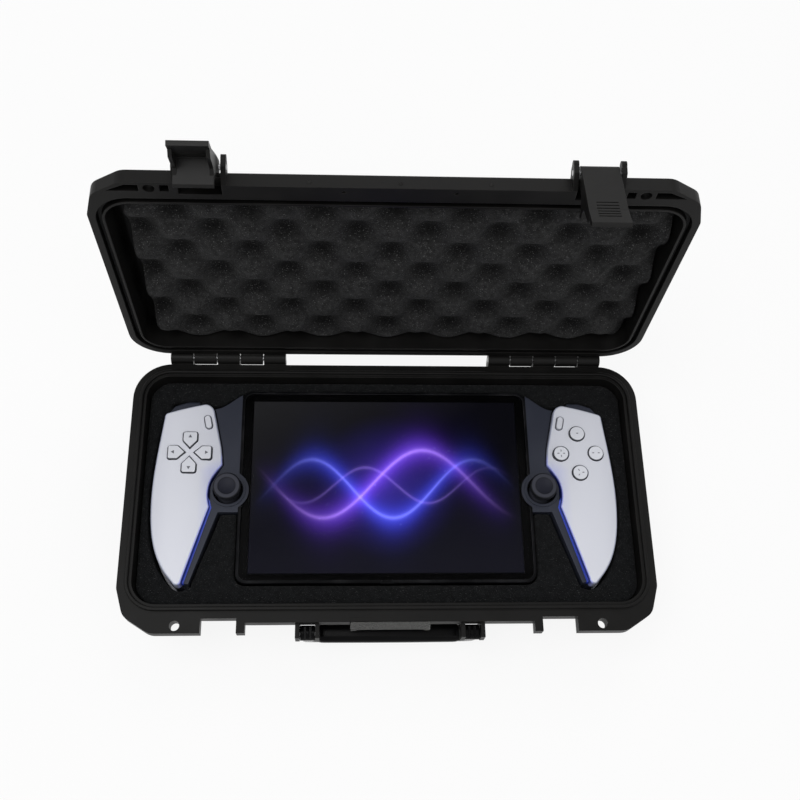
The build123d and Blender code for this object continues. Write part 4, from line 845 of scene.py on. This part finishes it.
def clear_cap(name, outline):
    """Clear key over white: pale on top, with painted shade as a dark line where its edge turns down."""
    made, tree, shader = fresh(name)
    shader.inputs["Coat Roughness"].default_value = 0.1
    shader.inputs["Specular IOR Level"].default_value = 0.3
    skin = use(tree, grain, Vector=object_space(tree), Grain=1800.0, Cloud=160.0)
    # Painted shade: where a key's side turns down into the gap round it, the top colour gives way to the
    # dark outline colour.
    level = spread(tree, facing_up(tree), 0.0, 1.0, 0.86, 0.985)
    tone = blend_colours(tree, level, (*outline, 1), (0.74, 0.755, 0.82, 1))
    feed(tree, shader.inputs["Base Color"], tone)
    feed(tree, shader.inputs["Roughness"], spread(tree, skin.outputs["Cloud"], 0.16, 0.28))
    feed(tree, shader.inputs["Coat Weight"], spread(tree, level, 0.1, 0.35))
    return made


keys = [n for n in NODES if n.startswith(("direction_key", "face_button"))]
# The dark colours are the painted shade of the gap round each key.
paint(clear_cap("key_clear_cap", (0.055, 0.058, 0.07)), *keys)
paint(clear_cap("menu_clear_cap", (0.30, 0.31, 0.35)), "menu_button_left", "menu_button_right")


HIGHLIGHT_RING_IN = (4.9 * MM, 5.5 * MM)
HIGHLIGHT_RING_OUT = (7.0 * MM, 7.5 * MM)
DISH_SHADE_EDGE = (4.6 * MM, 5.0 * MM)


def ringed(finish, centre):
    """Thumbstick top: a painted highlight ring round a dish of painted shade, drawn by the distance from its
    middle.
    """
    tree = finish.node_tree
    shader = tree.nodes["Principled BSDF"]
    rubber = shader.inputs["Base Color"].links[0].from_socket
    moved = add(tree, "ShaderNodeMapping")
    feed(tree, moved.inputs["Vector"], object_space(tree))
    moved.inputs["Location"].default_value = (-centre.x, -centre.y, 0)
    spot = add(tree, "ShaderNodeSeparateXYZ")
    feed(tree, spot.inputs[0], moved.outputs[0])
    squares = [calc(tree, "POWER", calc(tree, "ABSOLUTE", spot.outputs[axis]), 2.0) for axis in "XY"]
    away = calc(tree, "SQRT", calc(tree, "ADD", *squares))
    ring = calc(
        tree,
        "MULTIPLY",
        spread(tree, away, 0.0, 1.0, *HIGHLIGHT_RING_IN),
        spread(tree, away, 1.0, 0.0, *HIGHLIGHT_RING_OUT),
    )
    dish_shade = spread(tree, away, 1.0, 0.0, *DISH_SHADE_EDGE)
    # Painted highlight on the ring, then painted shade in the dish.
    tone = blend_colours(tree, ring, rubber, (0.046, 0.048, 0.062, 1))
    tone = blend_colours(tree, dish_shade, tone, (0.017, 0.018, 0.027, 1))
    feed(tree, shader.inputs["Base Color"], tone)
    return finish


for hand in ("left", "right"):
    low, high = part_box("stick_" + hand)
    rubber = moulded("stick_rubber_" + hand, *RUBBER_TONES, 0.42, 0.56, 0.5, RUBBER_GRAIN, mirror=0.1)
    paint(ringed(rubber, (low + high) / 2), "stick_" + hand)

strip_light, tree, shader = fresh("strip_blue_light")
shader.inputs["Roughness"].default_value = 0.3
shader.inputs["Emission Strength"].default_value = 0.16
pulse = use(tree, grain, Vector=object_space(tree), Grain=400.0, Cloud=60.0)
cloud = pulse.outputs["Cloud"]
unlit = blend_colours(tree, cloud, (0.008, 0.02, 0.20, 1), (0.015, 0.04, 0.32, 1))
lit = blend_colours(tree, cloud, (0.02, 0.06, 0.7, 1), (0.04, 0.12, 1.0, 1))
feed(tree, shader.inputs["Base Color"], unlit)
feed(tree, shader.inputs["Emission Color"], lit)
paint(strip_light, "light_strip_left", "light_strip_right")
print("console finishes on", len(keys), "keys and the grips")

# %% [markdown]
# Under the glass the display glows. Its picture is three ribbons of light that cross, over
# a dark ground with a few points of light. Each ribbon is a sine curve, and the glow falls
# off with the distance from it, so a few Math nodes draw the whole picture.


# %% Display picture
def coloured(tree, colour, value):
    """A colour times a value."""
    node = add(tree, "ShaderNodeVectorMath", operation="SCALE")
    node.inputs[0].default_value = colour
    feed(tree, node.inputs["Scale"], value)
    return node.outputs[0]


def together(tree, *colours):
    """Sum of several colours."""
    total = colours[0]
    for extra in colours[1:]:
        node = add(tree, "ShaderNodeVectorMath", operation="ADD")
        feed(tree, node.inputs[0], total)
        feed(tree, node.inputs[1], extra)
        total = node.outputs[0]
    return total


def ribbon(tree, x, y, height, length, shift, lift):
    """Distance from a sine curve, in millimetres."""
    curve = calc(tree, "SINE", calc(tree, "ADD", calc(tree, "MULTIPLY", x, 2 * math.pi / length), shift))
    offset = calc(tree, "SUBTRACT", y, calc(tree, "ADD", calc(tree, "MULTIPLY", curve, height), lift))
    return calc(tree, "ABSOLUTE", offset)


def falling(tree, distance, reach):
    """Glow that is 1 on the curve and half at its reach."""
    ratio = calc(tree, "DIVIDE", distance, reach)
    return calc(tree, "DIVIDE", 1.0, calc(tree, "ADD", calc(tree, "MULTIPLY", ratio, ratio), 1.0))


RIBBON_REACH = 80.0
POOL_RADIUS = 46.0
HALF_WIDTH = 85.0
HALF_HEIGHT = 50.0

low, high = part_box("display_panel")
screen_middle = (low + high) / 2 / MM
display, tree, shader = fresh("display_picture")
shader.inputs["Base Color"].default_value = (0.004, 0.004, 0.006, 1)
shader.inputs["Specular IOR Level"].default_value = 0.0
shader.inputs["Emission Strength"].default_value = 1.0
centred = add(tree, "ShaderNodeMapping")
feed(tree, centred.inputs["Vector"], object_space(tree))
centred.inputs["Scale"].default_value = (1000, 1000, 1000)
centred.inputs["Location"].default_value = (-screen_middle.x, -screen_middle.y, 0)
parts = add(tree, "ShaderNodeSeparateXYZ")
feed(tree, parts.inputs[0], centred.outputs[0])
x, y = parts.outputs["X"], parts.outputs["Y"]
from_middle = calc(tree, "ABSOLUTE", calc(tree, "DIVIDE", x, RIBBON_REACH))
fade = calc(tree, "MAXIMUM", calc(tree, "SUBTRACT", 1.0, calc(tree, "POWER", from_middle, 2.0)), 0.0)
fade = calc(tree, "POWER", fade, 2.2)
first = ribbon(tree, x, y, 21.0, 118.0, 0.4, 1.0)
second = ribbon(tree, x, y, -18.0, 96.0, 1.3, -2.0)
third = ribbon(tree, x, y, 11.0, 74.0, 2.6, 0.0)
haze_one = calc(tree, "MULTIPLY", calc(tree, "POWER", falling(tree, first, 12.0), 2.5), fade)
haze_two = calc(tree, "MULTIPLY", calc(tree, "POWER", falling(tree, second, 11.0), 2.5), fade)
haze = calc(tree, "ADD", haze_one, haze_two)
core_one = calc(tree, "MULTIPLY", falling(tree, first, 1.0), fade)
core_two = calc(tree, "MULTIPLY", falling(tree, second, 0.9), fade)
core_three = calc(tree, "MULTIPLY", falling(tree, third, 0.5), fade)
squares = calc(tree, "ADD", calc(tree, "MULTIPLY", x, x), calc(tree, "MULTIPLY", y, y))
nearness = calc(tree, "SUBTRACT", 1.0, calc(tree, "DIVIDE", calc(tree, "SQRT", squares), POOL_RADIUS))
pool = calc(tree, "POWER", calc(tree, "MAXIMUM", nearness, 0.0), 1.6)
upward = calc(tree, "DIVIDE", y, HALF_HEIGHT)
leaning = calc(tree, "SUBTRACT", upward, calc(tree, "DIVIDE", x, HALF_WIDTH))
corner = spread(tree, leaning, 0.0, 1.0, 0.3, 1.9)
stars = add(tree, "ShaderNodeTexVoronoi")
feed(tree, stars.inputs["Vector"], centred.outputs[0])
stars.inputs["Scale"].default_value = 0.16
point = calc(tree, "LESS_THAN", stars.outputs["Distance"], 0.055)
spark = calc(tree, "MULTIPLY", point, haze)
picture = together(
    tree,
    coloured(tree, (0.0062, 0.0062, 0.0095), spread(tree, y, 1.4, 0.4, -HALF_HEIGHT, 20.0)),
    coloured(tree, (0.013, 0.013, 0.0125), corner),
    coloured(tree, (0.03, 0.018, 0.25), pool),
    coloured(tree, (0.11, 0.03, 0.60), haze_one),
    coloured(tree, (0.03, 0.04, 0.60), haze_two),
    coloured(tree, (0.42, 0.24, 0.80), core_one),
    coloured(tree, (0.20, 0.22, 0.85), core_two),
    coloured(tree, (0.16, 0.10, 0.40), core_three),
    coloured(tree, (0.30, 0.34, 0.75), spark),
)
feed(tree, shader.inputs["Emission Color"], picture)
feed(tree, shader.inputs["Roughness"], spread(tree, y, 0.25, 0.32, -HALF_HEIGHT, HALF_HEIGHT))
paint(display, "display_panel")

glass, tree, shader = fresh("screen_glass_clear")
shader.inputs["Base Color"].default_value = (0.002, 0.002, 0.003, 1)
shader.inputs["Specular IOR Level"].default_value = 0.12
smear = use(tree, grain, Vector=object_space(tree), Grain=300.0, Cloud=22.0)
feed(tree, shader.inputs["Roughness"], spread(tree, smear.outputs["Cloud"], 0.05, 0.16, 0.3, 0.7))
facing = add(tree, "ShaderNodeLayerWeight")
facing.inputs["Blend"].default_value = 0.25
feed(tree, shader.inputs["Alpha"], spread(tree, facing.outputs["Fresnel"], 0.05, 0.8))
paint(glass, "screen_glass")

board, tree, shader = fresh("board_green")
tracks = use(tree, grain, Vector=object_space(tree), Grain=900.0, Cloud=220.0)
green = blend_colours(tree, tracks.outputs["Cloud"], (0.01, 0.06, 0.03, 1), (0.03, 0.14, 0.07, 1))
feed(tree, shader.inputs["Base Color"], green)
feed(tree, shader.inputs["Roughness"], spread(tree, tracks.outputs["Height"], 0.35, 0.5))
paint(board, "main_board")
paint(seal_rubber, "battery")
print("display, glass, board and battery finished")

# %% [markdown]
# Thumbsticks have a knurled rim so that a thumb doesn't slip. The ribs repeat round a
# circle, so a small tree puts one rib at each point of a circle and joins them.

# %% Knurled rims
knurl, enter, leave = geometry_tree(
    "knurled_rim",
    [("Radius", VALUE), ("Rib", VECTOR), ("Count", COUNT), ("Finish", FINISH)],
)
circle = add(knurl, "GeometryNodeCurvePrimitiveCircle")
feed(knurl, circle.inputs["Radius"], enter.outputs["Radius"])
circle.inputs["Resolution"].default_value = 128
spots = add(knurl, "GeometryNodeCurveToPoints")
feed(knurl, spots.inputs["Curve"], circle.outputs["Curve"])
feed(knurl, spots.inputs["Count"], enter.outputs["Count"])
rib = add(knurl, "GeometryNodeMeshUVSphere")
rib.inputs["Segments"].default_value = 6
rib.inputs["Rings"].default_value = 5
rib.inputs["Radius"].default_value = 0.5
placed = add(knurl, "GeometryNodeInstanceOnPoints")
feed(knurl, placed.inputs["Points"], spots.outputs["Points"])
feed(knurl, placed.inputs["Instance"], rib.outputs["Mesh"])
feed(knurl, placed.inputs["Rotation"], spots.outputs["Rotation"])
feed(knurl, placed.inputs["Scale"], enter.outputs["Rib"])
whole = add(knurl, "GeometryNodeRealizeInstances")
feed(knurl, whole.inputs[0], placed.outputs[0])
dressed = add(knurl, "GeometryNodeSetMaterial")
feed(knurl, dressed.inputs["Geometry"], whole.outputs[0])
feed(knurl, dressed.inputs["Material"], enter.outputs["Finish"])
feed(knurl, leave.inputs[0], dressed.outputs[0])

RIM_RADIUS = 7.85
RIM_RIB = 0.5
RIM_COUNT = 54
RIM_DROP = 1.9
for hand in ("left", "right"):
    low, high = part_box("stick_" + hand)
    rim = grown(
        "stick_rim_" + hand,
        knurl,
        {
            "Radius": RIM_RADIUS * MM,
            "Rib": (RIM_RIB * MM, RIM_RIB * MM, RIM_RIB * MM),
            "Count": RIM_COUNT,
            "Finish": stick_rubber,
        },
    )
    middle = (low + high) / 2
    rim.data.transform(Matrix.Translation((middle.x, middle.y, high.z - RIM_DROP * MM)))
    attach(rim, NODES["stick_" + hand]["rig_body"])
    print("knurled rim", hand, len(rim.data.polygons), "faces")

# %% [markdown]
# Each round button carries one to four raised pips, and each direction key a small arrow.
# They are plain marks that a finger can read. The pips reuse the circle tree with a larger
# bead, and the arrow is a three-cornered plate with a soft edge.


# %% Marks on the keys
mark_grey, tree, shader = fresh("mark_grey")
shade = use(tree, grain, Vector=object_space(tree), Grain=900.0, Cloud=300.0)
greys = blend_colours(tree, shade.outputs["Cloud"], (0.07, 0.075, 0.09, 1), (0.11, 0.115, 0.14, 1))
feed(tree, shader.inputs["Base Color"], greys)
feed(tree, shader.inputs["Roughness"], spread(tree, shade.outputs["Height"], 0.35, 0.5))

PIP_CIRCLE = 1.7
PIP_WIDE = 1.5
PIP_HIGH = 0.4
ARROW_RADIUS = 1.25
ARROW_HIGH = 0.16
ARROW_SUNK = 0.04
ARROW_EDGE = 0.06

for name, count in (("up", 1), ("right", 2), ("down", 3), ("left", 4)):
    low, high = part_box("face_button_" + name)
    pips = grown(
        "button_pips_" + name,
        knurl,
        {
            "Radius": (0.01 if count == 1 else PIP_CIRCLE) * MM,
            "Rib": (PIP_WIDE * MM, PIP_WIDE * MM, PIP_HIGH * MM),
            "Count": count,
            "Finish": mark_grey,
        },
    )
    middle = (low + high) / 2
    pips.data.transform(Matrix.Translation((middle.x, middle.y, high.z)))
    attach(pips, NODES["face_button_" + name]["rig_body"])


def arrow_mark(name, centre, degrees):
    """Small three-cornered plate that points away from the middle of the keys."""
    work = bmesh.new()
    turns = (math.pi / 2, math.pi * 7 / 6, math.pi * 11 / 6)
    spots = [(math.cos(a) * ARROW_RADIUS * MM, math.sin(a) * ARROW_RADIUS * MM, 0) for a in turns]
    corners = [work.verts.new(spot) for spot in spots]
    plate = work.faces.new(corners)
    raised = bmesh.ops.extrude_face_region(work, geom=[plate])
    tops = [v for v in raised["geom"] if isinstance(v, bmesh.types.BMVert)]
    bmesh.ops.translate(work, verts=tops, vec=(0, 0, ARROW_HIGH * MM))
    bmesh.ops.recalc_face_normals(work, faces=work.faces)
    bmesh.ops.bevel(work, geom=work.edges, offset=ARROW_EDGE * MM, segments=2, affect="EDGES")
    mesh = bpy.data.meshes.new(name)
    work.to_mesh(mesh)
    work.free()
    mesh.transform(Matrix.Translation(centre) @ Matrix.Rotation(math.radians(degrees), 4, "Z"))
    mesh.materials.append(mark_grey)
    made = bpy.data.objects.new(name, mesh)
    bpy.context.scene.collection.objects.link(made)
    return made


ARROW_PLACES = (
    ("up", 0, (0, 2)),
    ("left", 90, (-2, 0)),
    ("down", 180, (0, -2)),
    ("right", 270, (2, 0)),
)
for name, degrees, reach in ARROW_PLACES:
    low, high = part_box("direction_key_" + name)
    middle = (low + high) / 2
    centre = Vector((middle.x + reach[0] * MM, middle.y + reach[1] * MM, high.z - ARROW_SUNK * MM))
    arrow = arrow_mark("direction_mark_" + name, centre, degrees)
    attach(arrow, NODES["direction_key_" + name]["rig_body"])
print("marks: four buttons with pips and four keys with arrows")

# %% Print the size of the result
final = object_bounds()
for label, box in (("cad box", CAD_BOX), ("visual box", final)):
    print(label, [[round(c, 4) for c in v] for v in box])
